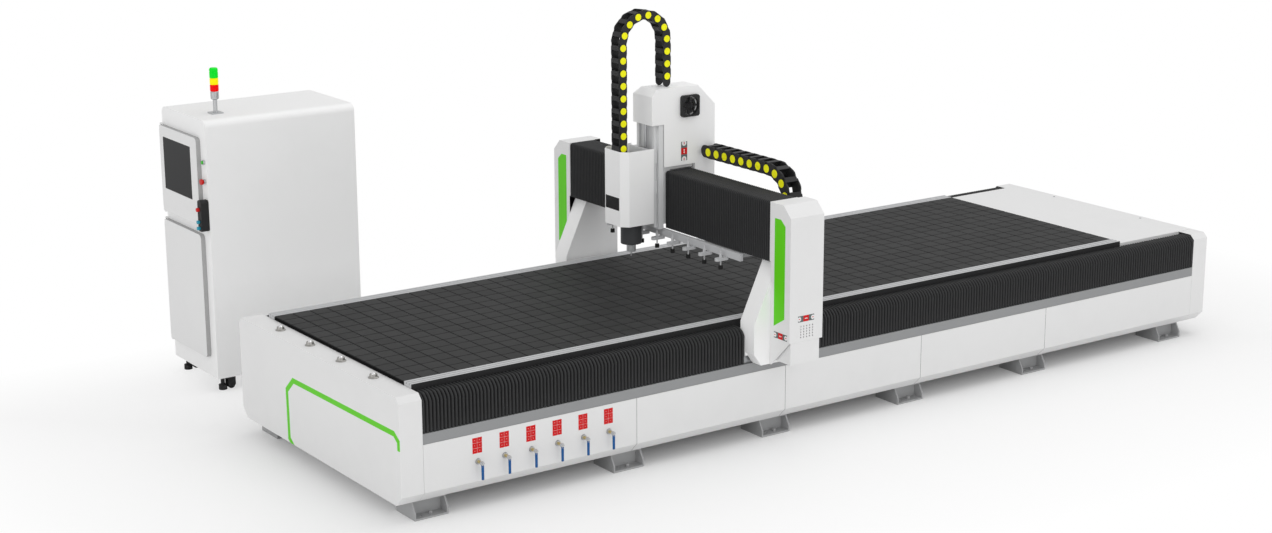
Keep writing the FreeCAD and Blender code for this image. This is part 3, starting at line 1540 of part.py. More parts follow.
def build_head_plate():
    """Slide plate with rail blocks, screw nut, spindle clamps and chain shelf."""
    gap = dim.running_gap
    plate_x = (slide_back - dim.slide_thick, slide_back)
    block_x = along(slide_back, dim.z_block_deep)
    side = dim.sheet_thick + gap
    pieces = [box(
        "slide_plate", plate_x, (saddle + side, saddle + dim.head_wide - side),
        (dim.head_low + dim.slide_rise, dim.head_top - dim.slide_drop))]
    for i, aside in enumerate((-dim.z_rail_aside, dim.z_rail_aside)):
        for j, z in enumerate((dim.head_low + dim.z_block_rise, dim.head_top - dim.z_block_drop)):
            y = head_middle + aside
            block_z = along(z, dim.z_block_tall)
            block = box(f"z_block_{i}_{j}", block_x, about(y, dim.z_block_wide), block_z)
            slot = box(
                f"z_slot_{i}_{j}", (screw_x - gap, block_x[1]), about(y, dim.z_rail_wide + 2 * gap), block_z)
            pieces.append(cut(f"z_carriage_{i}_{j}", block, slot))
    nut_z = along(dim.nut_low, dim.nut_tall)
    nut = box("screw_nut", block_x, about(head_middle, dim.nut_wide), nut_z)
    nut_bore = bore("nut_bore", "z", (screw_x, head_middle), dim.screw_radius, nut_z)
    pieces.append(cut("bored_nut", nut, nut_bore))
    for i, rise in enumerate((dim.clamp_low_rise, dim.clamp_high_rise)):
        clamp_z = along(dim.head_low + rise, dim.clamp_tall)
        clamp_y = about(head_middle, dim.clamp_wide)
        clamp = box(f"clamp_{i}", (spindle_x - dim.clamp_ahead, plate_x[0]), clamp_y, clamp_z)
        clamp_bore = rod(f"clamp_bore_{i}", "z", (spindle_x, head_middle), dim.spindle_radius, clamp_z)
        pieces.append(cut(f"bored_clamp_{i}", clamp, clamp_bore))
    chain_x = gantry + dim.z_chain_rear - 2 * dim.z_chain_radius
    shelf_top = dim.head_top - dim.chain_shelf_drop
    pieces.append(box(
        "chain_shelf", (chain_x - dim.chain_shelf_ahead, plate_x[0]),
        along(saddle + dim.z_chain_inset, dim.z_chain_wide), (shelf_top - dim.chain_shelf_thick, shelf_top)))
    return fuse("head_plate", *pieces)


def head_outline(inset):
    """The head cover seen from above: open behind, bevelled in front."""
    front, back = gantry - dim.head_ahead + inset, gantry - dim.head_back
    low, high = saddle + inset, saddle + dim.head_wide - inset
    bevel = dim.head_bevel - inset * BEVEL_SHARE
    return [
        (back, low), (back, high), (front + bevel, high), (front, high - bevel), (front, low + bevel),
        (front + bevel, low),
    ]


def build_head_cover():
    """White cover round the spindle, with a window in front."""
    past = dim.overrun
    front = gantry - dim.head_ahead
    shell = prism("head_box", "z", head_outline(0), (dim.head_low, dim.head_top))
    hollow = prism(
        "head_hollow", "z", head_outline(dim.sheet_thick), (dim.head_low - past, dim.head_top + past))
    window = box(
        "head_window", (front - past, front + dim.sheet_thick + past),
        along(saddle + dim.window_inset, dim.window_wide), along(dim.window_low, dim.window_tall))
    return cut("head_cover", shell, hollow, window)


def build_spindle():
    """Spindle housing in the clamps and its rotor with collet nut and cutter."""
    at = (spindle_x, head_middle)
    shaft_top = dim.head_low + dim.shaft_rise
    barrel = rod(
        "spindle_barrel", "z", at, dim.spindle_radius, (dim.spindle_low, dim.head_low + dim.spindle_rise))
    barrel_bore = bore("spindle_bore", "z", at, dim.shaft_radius, (dim.spindle_low - dim.overrun, shaft_top))
    nut_top = dim.spindle_low - dim.nose_tall
    rotor = fuse(
        "spindle_shaft",
        rod("rotor_shaft", "z", at, dim.shaft_radius, (nut_top, shaft_top)),
        rod("collet_nut", "z", at, dim.collet_radius, (dim.collet_low, nut_top), SIDES_MEDIUM),
        rod("router_bit", "z", at, dim.bit_radius, (dim.collet_low - dim.bit_long, dim.collet_low),
            SIDES_SMALL))
    return cut("spindle_housing", barrel, barrel_bore), rotor


# The control cabinet

def cabinet_space(name, inset):
    """The cabinet's block with its upper long edges rounded."""
    x = (cabinet_front + inset, cabinet_back - inset)
    y = (cabinet_near + inset, cabinet_far - inset)
    top = dim.cabinet_top - inset
    radius = dim.cabinet_round - inset
    shoulder = top - radius
    pieces = [
        box(name + "_body", x, y, (dim.cabinet_low + inset, shoulder)),
        box(name + "_crown", x, (y[0] + radius, y[1] - radius), (shoulder, top)),
        rod(name + "_near_edge", "x", (y[0] + radius, shoulder), radius, x),
        rod(name + "_far_edge", "x", (y[1] - radius, shoulder), radius, x),
    ]
    return fuse(name, *pieces)


def build_cabinet():
    """Steel cabinet, open in front behind its two doors, with lugs for their pins."""
    past = dim.overrun
    wall = (cabinet_front - past, cabinet_front + dim.sheet_thick + past)
    across = (door_y[0] + dim.door_lap_near, door_y[1] - dim.door_lap_far)
    upper = box("upper_opening", wall, across, (dim.upper_opening_low, dim.upper_opening_top))
    lower = box("lower_opening", wall, across, (dim.lower_opening_low, dim.lower_opening_top))
    shell = cut(
        "cabinet_shell_open", cabinet_space("cabinet_outer", 0),
        cabinet_space("cabinet_inner", dim.sheet_thick), upper, lower)
    gap, thick = dim.panel_gap, dim.hinge_lug_thick
    lug_starts = []
    for low, top in door_heights():
        lug_starts += [low - gap - thick, top + gap]
    lugs = []
    for i, z in enumerate(lug_starts):
        lug = box(
            f"hinge_lug_{i}", (hinge_at[0] - dim.hinge_lug_reach, cabinet_front),
            about(hinge_at[1], 2 * dim.hinge_lug_reach), along(z, thick))
        hole = bore(f"hinge_hole_{i}", "z", hinge_at, dim.hinge_pin_radius, along(z, thick))
        lugs.append(cut(f"drilled_lug_{i}", lug, hole))
    return fuse("cabinet_shell", shell, *lugs)


def door_heights():
    """Bottom and top of the screen door and of the lower door."""
    return (dim.screen_door_low, dim.screen_door_top), (dim.lower_door_low, dim.lower_door_top)


def door_blank(name, z):
    """A raised door whose far edge is a half round about its two hinge pins."""
    x = (cabinet_front - dim.door_thick, cabinet_front - dim.running_gap)
    past = dim.overrun
    blank = rounded_box(name + "_panel", "x", x, door_y, z, dim.door_round)
    notch = box(
        name + "_notch", (x[0] - past, x[1] + past), (hinge_at[1], door_y[1] + past),
        (z[0] - past, z[1] + past))
    reach, radius = dim.hinge_pin_reach, dim.door_round
    edge = rod(name + "_edge", "z", hinge_at, hinge_radius, (z[0] + radius, z[1] - radius))
    spans = ((z[0] - reach, z[0] + radius), (z[1] - radius, z[1] + reach))
    pins = [
        rod(f"{name}_pin_{i}", "z", hinge_at, dim.hinge_pin_radius, span, SIDES_SMALL)
        for i, span in enumerate(spans)
    ]
    return fuse(name, cut(name + "_notched", blank, notch), edge, *pins)


def build_doors():
    """The screen door with its screen, and the lower door."""
    front = cabinet_front - dim.door_thick
    upper_z, lower_z = door_heights()
    y = along(cabinet_near + dim.screen_near, dim.screen_wide)
    z = along(dim.screen_low, dim.screen_tall)
    recess = box("screen_recess", (front - dim.overrun, front + dim.screen_deep), y, z)
    screen = box("display_screen", (front + dim.screen_set_back, front + dim.screen_deep), y, z)
    return (
        cut("screen_door", door_blank("upper_door", upper_z), recess),
        door_blank("lower_door", lower_z),
        screen,
    )


def build_push_buttons():
    """Start button, emergency stop, and the bezels they slide in."""
    y = cabinet_near + dim.button_near
    pushed = cabinet_front - dim.sheet_thick - dim.stop_gap
    start = rod(
        "start_button", "x", (y, dim.start_height), dim.start_radius, (cabinet_front - dim.start_end, pushed),
        SIDES_LARGE)
    neck_end = cabinet_front - dim.stop_neck_end
    stop = fuse(
        "emergency_stop",
        rod("stop_head", "x", (y, dim.stop_height), dim.stop_radius, (cabinet_front - dim.stop_end, neck_end),
            SIDES_LARGE),
        rod("stop_neck", "x", (y, dim.stop_height), dim.stop_neck_radius, (neck_end, pushed), SIDES_LARGE))
    bezels = []
    for z, radius in ((dim.start_height, dim.start_radius), (dim.stop_height, dim.stop_neck_radius)):
        outer = rod(
            "bezel_rim", "x", (y, z), radius + dim.bezel_rim, (cabinet_front - dim.bezel_long, cabinet_front),
            SIDES_LARGE)
        inner = rod(
            "bezel_bore", "x", (y, z), radius + dim.running_gap,
            (cabinet_front - dim.bezel_long - dim.overrun, cabinet_front - dim.sheet_thick), SIDES_LARGE)
        bezels.append(cut("bezel", outer, inner))
    return start, stop, bezels


def build_pendant():
    """The pendant box with its stop button and two turning knobs."""
    front = cabinet_front - dim.pendant_thick
    y = cabinet_near + dim.pendant_line
    case = bevelled_box(
        "pendant_case", "x", (front, cabinet_front), along(cabinet_near + dim.pendant_near, dim.pendant_wide),
        along(dim.pendant_low, dim.pendant_tall), dim.pendant_bevel)
    stop_at = (y, dim.pendant_stop_height)
    hole = rod(
        "pendant_stop_hole", "x", stop_at, dim.pendant_neck_radius + dim.running_gap,
        (front - dim.overrun, front + dim.pendant_neck_deep), SIDES_MEDIUM)
    head_end = front - dim.stop_gap - dim.running_gap
    button = fuse(
        "pendant_stop",
        rod("pendant_stop_head", "x", stop_at, dim.pendant_stop_radius,
            (front - dim.pendant_button_long, head_end), SIDES_LARGE),
        rod("pendant_stop_neck", "x", stop_at, dim.pendant_neck_radius,
            (head_end, front + dim.pendant_neck_deep - dim.stop_gap), SIDES_MEDIUM))
    knobs = []
    stub = dim.pendant_knob_stub
    for name, z in (("upper", dim.upper_knob_height), ("lower", dim.lower_knob_height)):
        knobs.append(fuse(
            f"pendant_knob_{name}",
            rod(f"knob_grip_{name}", "x", (y, z), dim.pendant_knob_radius,
                (front - dim.pendant_button_long, front - stub)),
            rod(f"knob_stub_{name}", "x", (y, z), dim.pendant_neck_radius,
                (front - stub, front - dim.running_gap), SIDES_SMALL)))
    return cut("pendant_body", case, hole), button, knobs


def build_tower_light():
    """Signal tower on the cabinet roof: flange, pole, base, lenses and cap."""
    at = (cabinet_front + dim.tower_from_front, cabinet_near + dim.tower_from_near)
    top = dim.cabinet_top
    base_low, base_top = top + dim.tower_tube_top, top + dim.tower_base_top
    pole = fuse(
        "tower_pole",
        box("tower_flange", about(at[0], dim.tower_flange_side), about(at[1], dim.tower_flange_side),
            along(top, dim.tower_flange_tall)),
        rod("tower_tube", "z", at, dim.tower_tube_radius, (top, base_low), SIDES_MEDIUM),
        rod("tower_base", "z", at, dim.tower_base_radius, (base_low, base_top), SIDES_LARGE))
    lens_z = [base_top + i * dim.tower_lens_tall for i in range(LENS_COUNT + 1)]
    lenses = [
        rod(f"tower_lens_{i}", "z", at, dim.tower_lens_radius, (lens_z[i], lens_z[i + 1]), SIDES_LARGE)
        for i in range(LENS_COUNT)
    ]
    cap = rod("tower_cap", "z", at, dim.tower_lens_radius, along(lens_z[-1], dim.tower_cap_tall), SIDES_LARGE)
    return group("tower_light", pole, *lenses, cap)


def build_drive_plate():
    """Mounting plate inside the cabinet with the motor drives and terminals."""
    y = (cabinet_near + dim.board_inset, cabinet_far - dim.board_inset)
    back = cabinet_back - dim.sheet_thick
    face = back - dim.board_thick
    plate = box("back_board", (face, back), y, (dim.board_low, dim.board_top))
    drives = [
        box(f"drive_{i}", (face - dim.drive_deep, face),
            along(y[0] + dim.drive_inset + i * dim.drive_pitch, dim.drive_wide),
            along(dim.drive_low, dim.drive_tall))
        for i in range(DRIVE_COUNT)
    ]
    inverter = box(
        "inverter", (face - dim.inverter_deep, face), along(y[0] + dim.drive_inset, dim.inverter_wide),
        along(dim.inverter_low, dim.inverter_tall))
    terminal_y = (y[0] + dim.terminals_inset, y[1] - dim.terminals_inset)
    terminals = box(
        "terminal_rail", (face - dim.terminals_deep, face), terminal_y,
        along(dim.terminals_low, dim.terminals_tall))
    return group("drive_plate", plate, *drives, inverter, terminals)


def build_caster(i, x, y):
    """One levelling caster: its fixed frame with floor pad, and its wheel."""
    top = dim.cabinet_low
    under = top - dim.caster_plate_thick
    wheel_x = x + dim.caster_trail
    fork_y = dim.wheel_wide / 2 + dim.fork_gap
    half_long, half_foot = dim.fork_long / 2, dim.fork_foot_long / 2
    cheek = [
        (wheel_x - half_long, under), (wheel_x - half_long, dim.wheel_height),
        (wheel_x - half_foot, dim.fork_low), (wheel_x + half_foot, dim.fork_low),
        (wheel_x + half_long, dim.wheel_height), (wheel_x + half_long, under),
    ]
    pad_x = x - dim.pad_ahead
    frame = fuse(
        f"caster_{i}",
        box(f"caster_plate_{i}", about(x, dim.caster_plate_long), about(y, dim.caster_plate_wide),
            (under, top)),
        prism(f"fork_near_{i}", "y", cheek, (y - fork_y - dim.fork_thick, y - fork_y)),
        prism(f"fork_far_{i}", "y", cheek, along(y + fork_y, dim.fork_thick)),
        rod(f"pad_stem_{i}", "z", (pad_x, y), dim.pad_stem_radius, (dim.pad_tall, under), 6),
        rod(f"floor_pad_{i}", "z", (pad_x, y), dim.pad_radius, (0, dim.pad_tall), SIDES_MEDIUM))
    hub_y = about(y, 2 * (fork_y - dim.running_gap))
    wheel = fuse(
        f"wheel_{i}",
        rod(f"wheel_tread_{i}", "y", (wheel_x, dim.wheel_height), dim.wheel_radius, about(y, dim.wheel_wide)),
        rod(f"wheel_hub_{i}", "y", (wheel_x, dim.wheel_height), dim.hub_radius, hub_y, SIDES_SMALL))
    return frame, wheel


def build_casters():
    """Four levelling casters under the cabinet's corners; each pair of wheels is one node."""
    aside, inset = dim.caster_from_side, dim.caster_from_end
    frames, wheels = [], []
    for x in (cabinet_front + inset, cabinet_back - inset):
        for y in (cabinet_near + aside, cabinet_far - aside):
            frame, wheel = build_caster(len(frames), x, y)
            frames.append(frame)
            wheels.append(wheel)
    return (
        group("caster_frames", *frames),
        group("front_caster_wheels", *wheels[:2]),
        group("rear_caster_wheels", *wheels[2:]),
    )


# Assembly

def add(name, item):
    """List a finished sub-part under its node name."""
    item.Label = name
    nodes[name] = item


add("bed_frame", build_bed_frame())
add("bed_feet", build_bed_feet())
left_cover, right_cover = build_end_covers()
add("left_end_cover", left_cover)
add("right_end_cover", right_cover)
add("deck_plate", build_deck_plate())
valve_panel, side_panels = build_skirts()
add("valve_panel", valve_panel)
add("side_panels", side_panels)
add("edge_strips", build_edge_strips())
add("vacuum_table", build_vacuum_table())
add("ball_transfer_units", build_ball_units())
add("x_guideway", build_x_guideway())
left_bellows, right_bellows = build_x_bellows()
add("left_x_bellows", left_bellows)
add("right_x_bellows", right_bellows)
valves, manifold = build_valves()
add("ball_valves", valves)
for number in range(VALVE_COUNT):
    add(f"valve_lever_{number + 1}", build_lever(number))
add("vacuum_manifold", manifold)

add("gantry_legs", build_gantry_legs())
add("gantry_beam", build_gantry_beam())
add("x_carriages", build_x_carriages())
add("leg_covers", build_leg_covers())
add("y_guideway", build_y_guideway())
x_motors, x_pinions = build_x_drives()
add("x_motors", x_motors)
add("x_pinions", x_pinions)
press_bar, press_feet = build_press()
add("press_bar", press_bar)
add("press_feet", press_feet)
near_y_bellows, far_y_bellows = build_y_bellows()
add("near_y_bellows", near_y_bellows)
add("far_y_bellows", far_y_bellows)
add("y_cable_chain", build_y_chain())

add("saddle_frame", build_saddle_frame())
add("column_cover", build_column_cover())
add("fan_housing", build_fan_housing())
add("fan_rotor", build_fan_rotor())
add("saddle_motors", build_saddle_motors())
add("z_screw", build_z_screw())
add("y_pinion", build_y_pinion())
add("z_cable_chain", build_z_chain())

add("head_plate", build_head_plate())
add("head_cover", build_head_cover())
spindle_housing, spindle_shaft = build_spindle()
add("spindle_housing", spindle_housing)
add("spindle_shaft", spindle_shaft)

add("cabinet_shell", build_cabinet())
screen_door, lower_door, display_screen = build_doors()
add("screen_door", screen_door)
add("lower_door", lower_door)
add("display_screen", display_screen)
start_button, emergency_stop, bezels = build_push_buttons()
pendant_body, pendant_stop, knobs = build_pendant()
add("start_button", start_button)
add("emergency_stop", emergency_stop)
add("pendant_box", group("pendant_box", pendant_body, *bezels))
add("pendant_stop", pendant_stop)
add("pendant_knob_upper", knobs[0])
add("pendant_knob_lower", knobs[1])
add("tower_light", build_tower_light())
add("drive_plate", build_drive_plate())
caster_frames, front_wheels, rear_wheels = build_casters()
add("caster_frames", caster_frames)
add("front_caster_wheels", front_wheels)
add("rear_caster_wheels", rear_wheels)

doc.recompute()

# Check and write every node

broken = [item.Name for item in doc.Objects if "Invalid" in item.State or "Error" in item.State]
if broken:
    raise RuntimeError("objects that failed: " + ", ".join(broken))
for name, item in nodes.items():
    if item.Shape.isNull() or not item.Shape.isValid():
        raise RuntimeError("bad shape: " + name)
os.makedirs("parts", exist_ok=True)
for name, item in nodes.items():
    item.Shape.exportStep(f"parts/{name}.step")
print(len(nodes), "nodes written")
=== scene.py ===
import json
import math

import bmesh
import bpy
import numpy as np
from mathutils import Matrix, Vector

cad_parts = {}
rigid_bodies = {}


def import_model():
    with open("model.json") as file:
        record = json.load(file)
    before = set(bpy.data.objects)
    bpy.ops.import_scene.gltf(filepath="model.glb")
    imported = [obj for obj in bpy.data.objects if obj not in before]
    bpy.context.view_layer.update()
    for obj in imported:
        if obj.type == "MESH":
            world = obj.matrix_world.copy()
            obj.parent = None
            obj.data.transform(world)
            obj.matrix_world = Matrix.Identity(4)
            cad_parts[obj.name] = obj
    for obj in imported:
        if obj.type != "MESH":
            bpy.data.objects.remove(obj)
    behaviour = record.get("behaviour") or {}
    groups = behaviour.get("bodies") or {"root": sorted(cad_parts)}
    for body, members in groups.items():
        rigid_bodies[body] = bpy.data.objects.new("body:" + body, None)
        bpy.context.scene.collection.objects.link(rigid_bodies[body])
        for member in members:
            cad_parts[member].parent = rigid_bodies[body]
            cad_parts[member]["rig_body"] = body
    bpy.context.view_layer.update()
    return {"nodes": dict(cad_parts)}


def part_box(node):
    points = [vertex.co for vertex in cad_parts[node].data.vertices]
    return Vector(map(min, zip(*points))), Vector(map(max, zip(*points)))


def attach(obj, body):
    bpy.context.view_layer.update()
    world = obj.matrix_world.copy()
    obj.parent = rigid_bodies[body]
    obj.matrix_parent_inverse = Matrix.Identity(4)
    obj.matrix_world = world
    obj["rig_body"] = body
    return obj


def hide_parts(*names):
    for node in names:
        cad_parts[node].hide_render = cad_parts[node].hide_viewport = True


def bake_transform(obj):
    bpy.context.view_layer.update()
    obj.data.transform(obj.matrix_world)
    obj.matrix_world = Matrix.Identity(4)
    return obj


# Looks of the flat-bed router and its cabinet, in metres, in the frame of the CAD part.

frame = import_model()
scene = bpy.context.scene


# Places read from the CAD nodes

LEFT_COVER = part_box("left_end_cover")
LEFT, RIGHT = LEFT_COVER[0].x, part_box("right_end_cover")[1].x
NEAR, FAR = LEFT_COVER[0].y, LEFT_COVER[1].y
MIDDLE = (NEAR + FAR) / 2
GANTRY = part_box("near_y_bellows")[0].x
LEG_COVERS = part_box("leg_covers")
LEG_OUTER, LEG_TOP = LEG_COVERS[0].y, LEG_COVERS[1].z
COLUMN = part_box("column_cover")
SADDLE = COLUMN[0].y
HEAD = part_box("head_cover")


# Shader maths

class Value:
    """A shader socket whose arithmetic adds Math nodes."""

    def __init__(self, shading, socket):
        self.shading = shading
        self.socket = socket

    def maths(self, operation, *others):
        """One Math node fed by this value and the others."""
        return self.shading.node(
            "ShaderNodeMath", {"operation": operation}, dict(enumerate((self, *others))))

    def __add__(self, other):
        return self.maths("ADD", other)

    def __mul__(self, other):
        return self.maths("MULTIPLY", other)

    def __sub__(self, other):
        return self.maths("SUBTRACT", other)

    def __rsub__(self, other):
        return (self * -1) + other

    __radd__, __rmul__ = __add__, __mul__

    def above(self, limit):
        """1 where the value is over the limit, else 0."""
        return self.maths("GREATER_THAN", limit)

    def below(self, limit):
        """1 where the value is under the limit, else 0."""
        return self.maths("LESS_THAN", limit)

    def ramp(self, low, high):
        """0 at low, 1 at high, held outside."""
        return self.shading.node(
            "ShaderNodeMapRange", None, {"Value": self, "From Min": low, "From Max": high}, "Result")


class Shading:
    """The node tree of a material or of the world, under construction."""

    def __init__(self, owner):
        owner.use_nodes = True
        self.tree = owner.node_tree

    def feed(self, socket, value):
        """Link a value to a socket, or set the socket to a constant."""
        if isinstance(value, Value):
            self.tree.links.new(value.socket, socket)
        else:
            socket.default_value = value

    def node(self, kind, settings=None, values=None, output=0):
        """Any node: its settings, its inputs and the output wanted."""
        node = self.tree.nodes.new(kind)
        for name, value in (settings or {}).items():
            setattr(node, name, value)
        for name, value in (values or {}).items():
            self.feed(node.inputs[name], value)
        return Value(self, node.outputs[output])


PAINTS = {}


class Paint(Shading):
    """A material on a Principled shader, laid out by Object coordinates and kept by its name."""

    def __init__(self, name):
        self.material = PAINTS[name] = bpy.data.materials.new(name)
        super().__init__(self.material)
        self.shader = self.tree.nodes["Principled BSDF"]
        self.position = self.node("ShaderNodeTexCoord", output="Object")

    def axis(self, letter):
        """One coordinate, in metres in the CAD frame."""
        return self.node("ShaderNodeSeparateXYZ", values={"Vector": self.position}, output=letter)

    def noise(self, scale, detail=3.0, roughness=0.5, stretch=None):
        """Noise from 0 to 1 at a scale in cycles per metre, times a stretch for each axis."""
        where = self.position
        if stretch:
            where = self.node("ShaderNodeVectorMath", {"operation": "MULTIPLY"}, {0: where, 1: stretch})
        return self.node(
            "ShaderNodeTexNoise", None,
            {"Vector": where, "Scale": scale, "Detail": detail, "Roughness": roughness}, "Fac")

    def attribute(self, name):
        """A number stored on the mesh."""
        return self.node("ShaderNodeAttribute", {"attribute_name": name}, output="Fac")

    def blend(self, factor, first, second):
        """Colour mix: the first colour at 0, the second at 1."""
        return self.node(
            "ShaderNodeMix", {"data_type": "RGBA"},
            {0: factor, 6: coloured(first), 7: coloured(second)}, 2)

    def bump(self, height, distance, strength=1.0):
        """Bump from a height between 0 and 1, worth a distance in metres."""
        return self.node(
            "ShaderNodeBump", None,
            {"Height": height, "Distance": distance, "Strength": strength}, "Normal")

    def finish(self, **inputs):
        """Set the shader's inputs by name, underscores for spaces."""
        for name, value in inputs.items():
            self.feed(self.shader.inputs[name.replace("_", " ")], value)


def coloured(value):
    """A colour as four numbers, or a socket as it is."""
    return value if isinstance(value, Value) else (*value, 1.0)


def darker(colour, share):
    """A colour with each of its numbers cut to a share."""
    return tuple(c * share for c in colour)


# Materials

WHITE = (0.8, 0.8, 0.8)
GREEN = (0.118, 0.64, 0.004)

# Cycles per metre of the ground lines in metal, few along the run and many across it
GROUND_LINES = {"x": (2, 700, 700), "y": (700, 2, 700), "z": (700, 700, 2)}

# Corners of the stripe on the end cover: place from the near edge, and height
STRIPE_PATH = [
    (1.41, 0.104), (1.468, 0.145), (1.475, 0.468), (1.38, 0.553), (0.068, 0.565), (0.014, 0.528),
    (0.012, 0.478),
]
STRIPE_WIDE = 0.036
STRIPE_OVERRUN_SHARE = 0.45
STRIPE_DEPTH = 0.0015

# Heights over which the screen glass turns paler upwards: a painted reflection
SCREEN_SHEEN_HEIGHTS = (1.36, 1.74)
LENS_RIBS = 900
LENS_GLOW = 0.45


def powder_coat(name, colour, roughness=0.38, grime=0.12, marks=None):
    """Sprayed sheet metal: faint orange peel, soft smudges, dust towards the floor."""
    paint = Paint(name)
    peel = paint.noise(420, 2)
    smudge = paint.noise(2.2, 5, 0.62)
    dust = paint.axis("Z").ramp(0.5, 0.02) * paint.noise(9, 6, 0.7)
    dirty = (smudge.ramp(0.5, 0.85) * grime + dust * 0.35) * 0.6
    shade = paint.blend(dirty, colour, darker(colour, 0.62))
    if marks:
        shade = marks(paint, shade)
    paint.finish(
        Base_Color=shade, Roughness=smudge * 0.16 + roughness, Coat_Weight=0.05, Specular_IOR_Level=0.25,
        Normal=paint.bump(peel, 0.00012, 0.35))


def end_stripe(paint, shade):
    """The green stripe that frames the end of the bed, laid over a shade."""
    across, height = paint.axis("Y") - NEAR, paint.axis("Z")
    half = STRIPE_WIDE / 2
    overrun = half * STRIPE_OVERRUN_SHARE
    stripe = None
    for start, end in zip(STRIPE_PATH, STRIPE_PATH[1:]):
        run = math.dist(start, end)
        dy, dz = (end[0] - start[0]) / run, (end[1] - start[1]) / run
        along = (across - start[0]) * dy + (height - start[1]) * dz
        aside = ((height - start[1]) * dy - (across - start[0]) * dz).maths("ABSOLUTE")
        inside = aside.below(half) * along.above(-overrun) * along.below(run + overrun)
        stripe = inside if stripe is None else stripe.maths("MAXIMUM", inside)
    outside = paint.axis("X").below(LEFT + STRIPE_DEPTH)
    green = paint.blend(paint.noise(30, 3) * 0.2, GREEN, darker(GREEN, 0.8))
    return paint.blend(stripe * outside, shade, green)


def machined(name, colour, run, roughness=0.3):
    """Drawn or ground metal with fine lines along one axis."""
    paint = Paint(name)
    lines = paint.noise(1.0, 3, 0.6, GROUND_LINES[run])
    patches = paint.noise(7, 4, 0.6)
    shade = paint.blend(patches * 0.35 + lines * 0.25, colour, darker(colour, 0.72))
    paint.finish(
        Base_Color=shade, Metallic=0.92, Roughness=patches * 0.14 + roughness,
        Normal=paint.bump(lines, 0.00008, 0.4))


def moulded(name, colour, roughness=0.5, grain=900):
    """Moulded plastic with a fine grain and worn, paler patches."""
    paint = Paint(name)
    wear = paint.noise(14, 5, 0.65)
    shade = paint.blend(wear.ramp(0.45, 0.9) * 0.4, colour, tuple(c * 1.4 + 0.006 for c in colour))
    paint.finish(
        Base_Color=shade, Roughness=wear * 0.18 + roughness, Specular_IOR_Level=0.3,
        Normal=paint.bump(paint.noise(grain, 2), 0.0001, 0.3))


def folded_cloth():
    """Coated bellows cloth: woven grain, paler in patches along the ridges: painted highlight mixed with
    rubbed wear.
    """
    paint = Paint("bellows_cloth")
    weave = paint.noise(1400, 2) + paint.noise(300, 2, 0.5, (1, 3, 3)) * 0.5
    # Paler towards the ridges: painted highlight on the pleats, mixed with patchy wear.
    ridge_highlight_and_wear = paint.attribute("ridge") * (paint.noise(30, 4, 0.7) * 0.4 + 0.5)
    shade = paint.blend(ridge_highlight_and_wear * 0.7, (0.0035, 0.0036, 0.0038), (0.052, 0.053, 0.055))
    paint.finish(
        Base_Color=shade, Roughness=0.66 - ridge_highlight_and_wear * 0.1, Specular_IOR_Level=0.3,
        Normal=paint.bump(weave, 0.00015, 0.35))


def table_board():
    """Dark phenolic tiles, each a slightly different tone, with milling scratches."""
    paint = Paint("table_board")
    grain = paint.noise(260, 5, 0.7)
    scratch = paint.noise(1.0, 4, 0.75, (5, 240, 5)).ramp(0.62, 0.8)
    tone = paint.attribute("tone") * 0.5 + grain * 0.3
    base = paint.blend(tone, (0.022, 0.0222, 0.0224), (0.036, 0.0362, 0.0365))
    shade = paint.blend(scratch * 0.12, base, (0.16, 0.16, 0.16))
    paint.finish(
        Base_Color=shade, Roughness=grain * 0.2 + 0.5, Specular_IOR_Level=0.2,
        Normal=paint.bump(grain, 0.0002, 0.4))


def board_groove():
    """Bottom of the grooves between the tiles: darker, as painted shade in the grooves, with fine dust."""
    paint = Paint("board_groove")
    dust = paint.noise(120, 5, 0.7)
    # The near-black bottom is painted shade in the grooves; the paler specks are dust.
    shade = paint.blend(dust.ramp(0.5, 0.85) * 0.35, (0.0025, 0.0025, 0.003), (0.02, 0.019, 0.017))
    paint.finish(
        Base_Color=shade, Roughness=0.8, Specular_IOR_Level=0.1, Normal=paint.bump(dust, 0.0003, 0.5))


def dark_screen():
    """Switched-off display: deep glossy glass with faint fingerprints, paler towards the top as a painted
    reflection.
    """
    paint = Paint("dark_screen")
    prints = paint.noise(60, 5, 0.7)
    # Paler towards the top: painted reflection on the glass.
    height = paint.axis("Z").ramp(*SCREEN_SHEEN_HEIGHTS)
    shade = paint.blend(height, (0.01, 0.0103, 0.011), (0.018, 0.0185, 0.0195))
    paint.finish(Base_Color=shade, Roughness=prints * 0.14 + 0.16, Specular_IOR_Level=0.1)


def lens(name, colour):
    """Ribbed, glowing lens of the signal tower."""
    paint = Paint(name)
    ribs = (paint.axis("Z") * LENS_RIBS).maths("SINE")
    shade = paint.blend(paint.noise(50, 3), colour, darker(colour, 0.75))
    paint.finish(
        Base_Color=shade, Roughness=0.3, Specular_IOR_Level=0.15, Emission_Color=shade,
        Emission_Strength=LENS_GLOW, Normal=paint.bump(ribs, 0.0006, 0.5))


powder_coat("white_paint", WHITE)
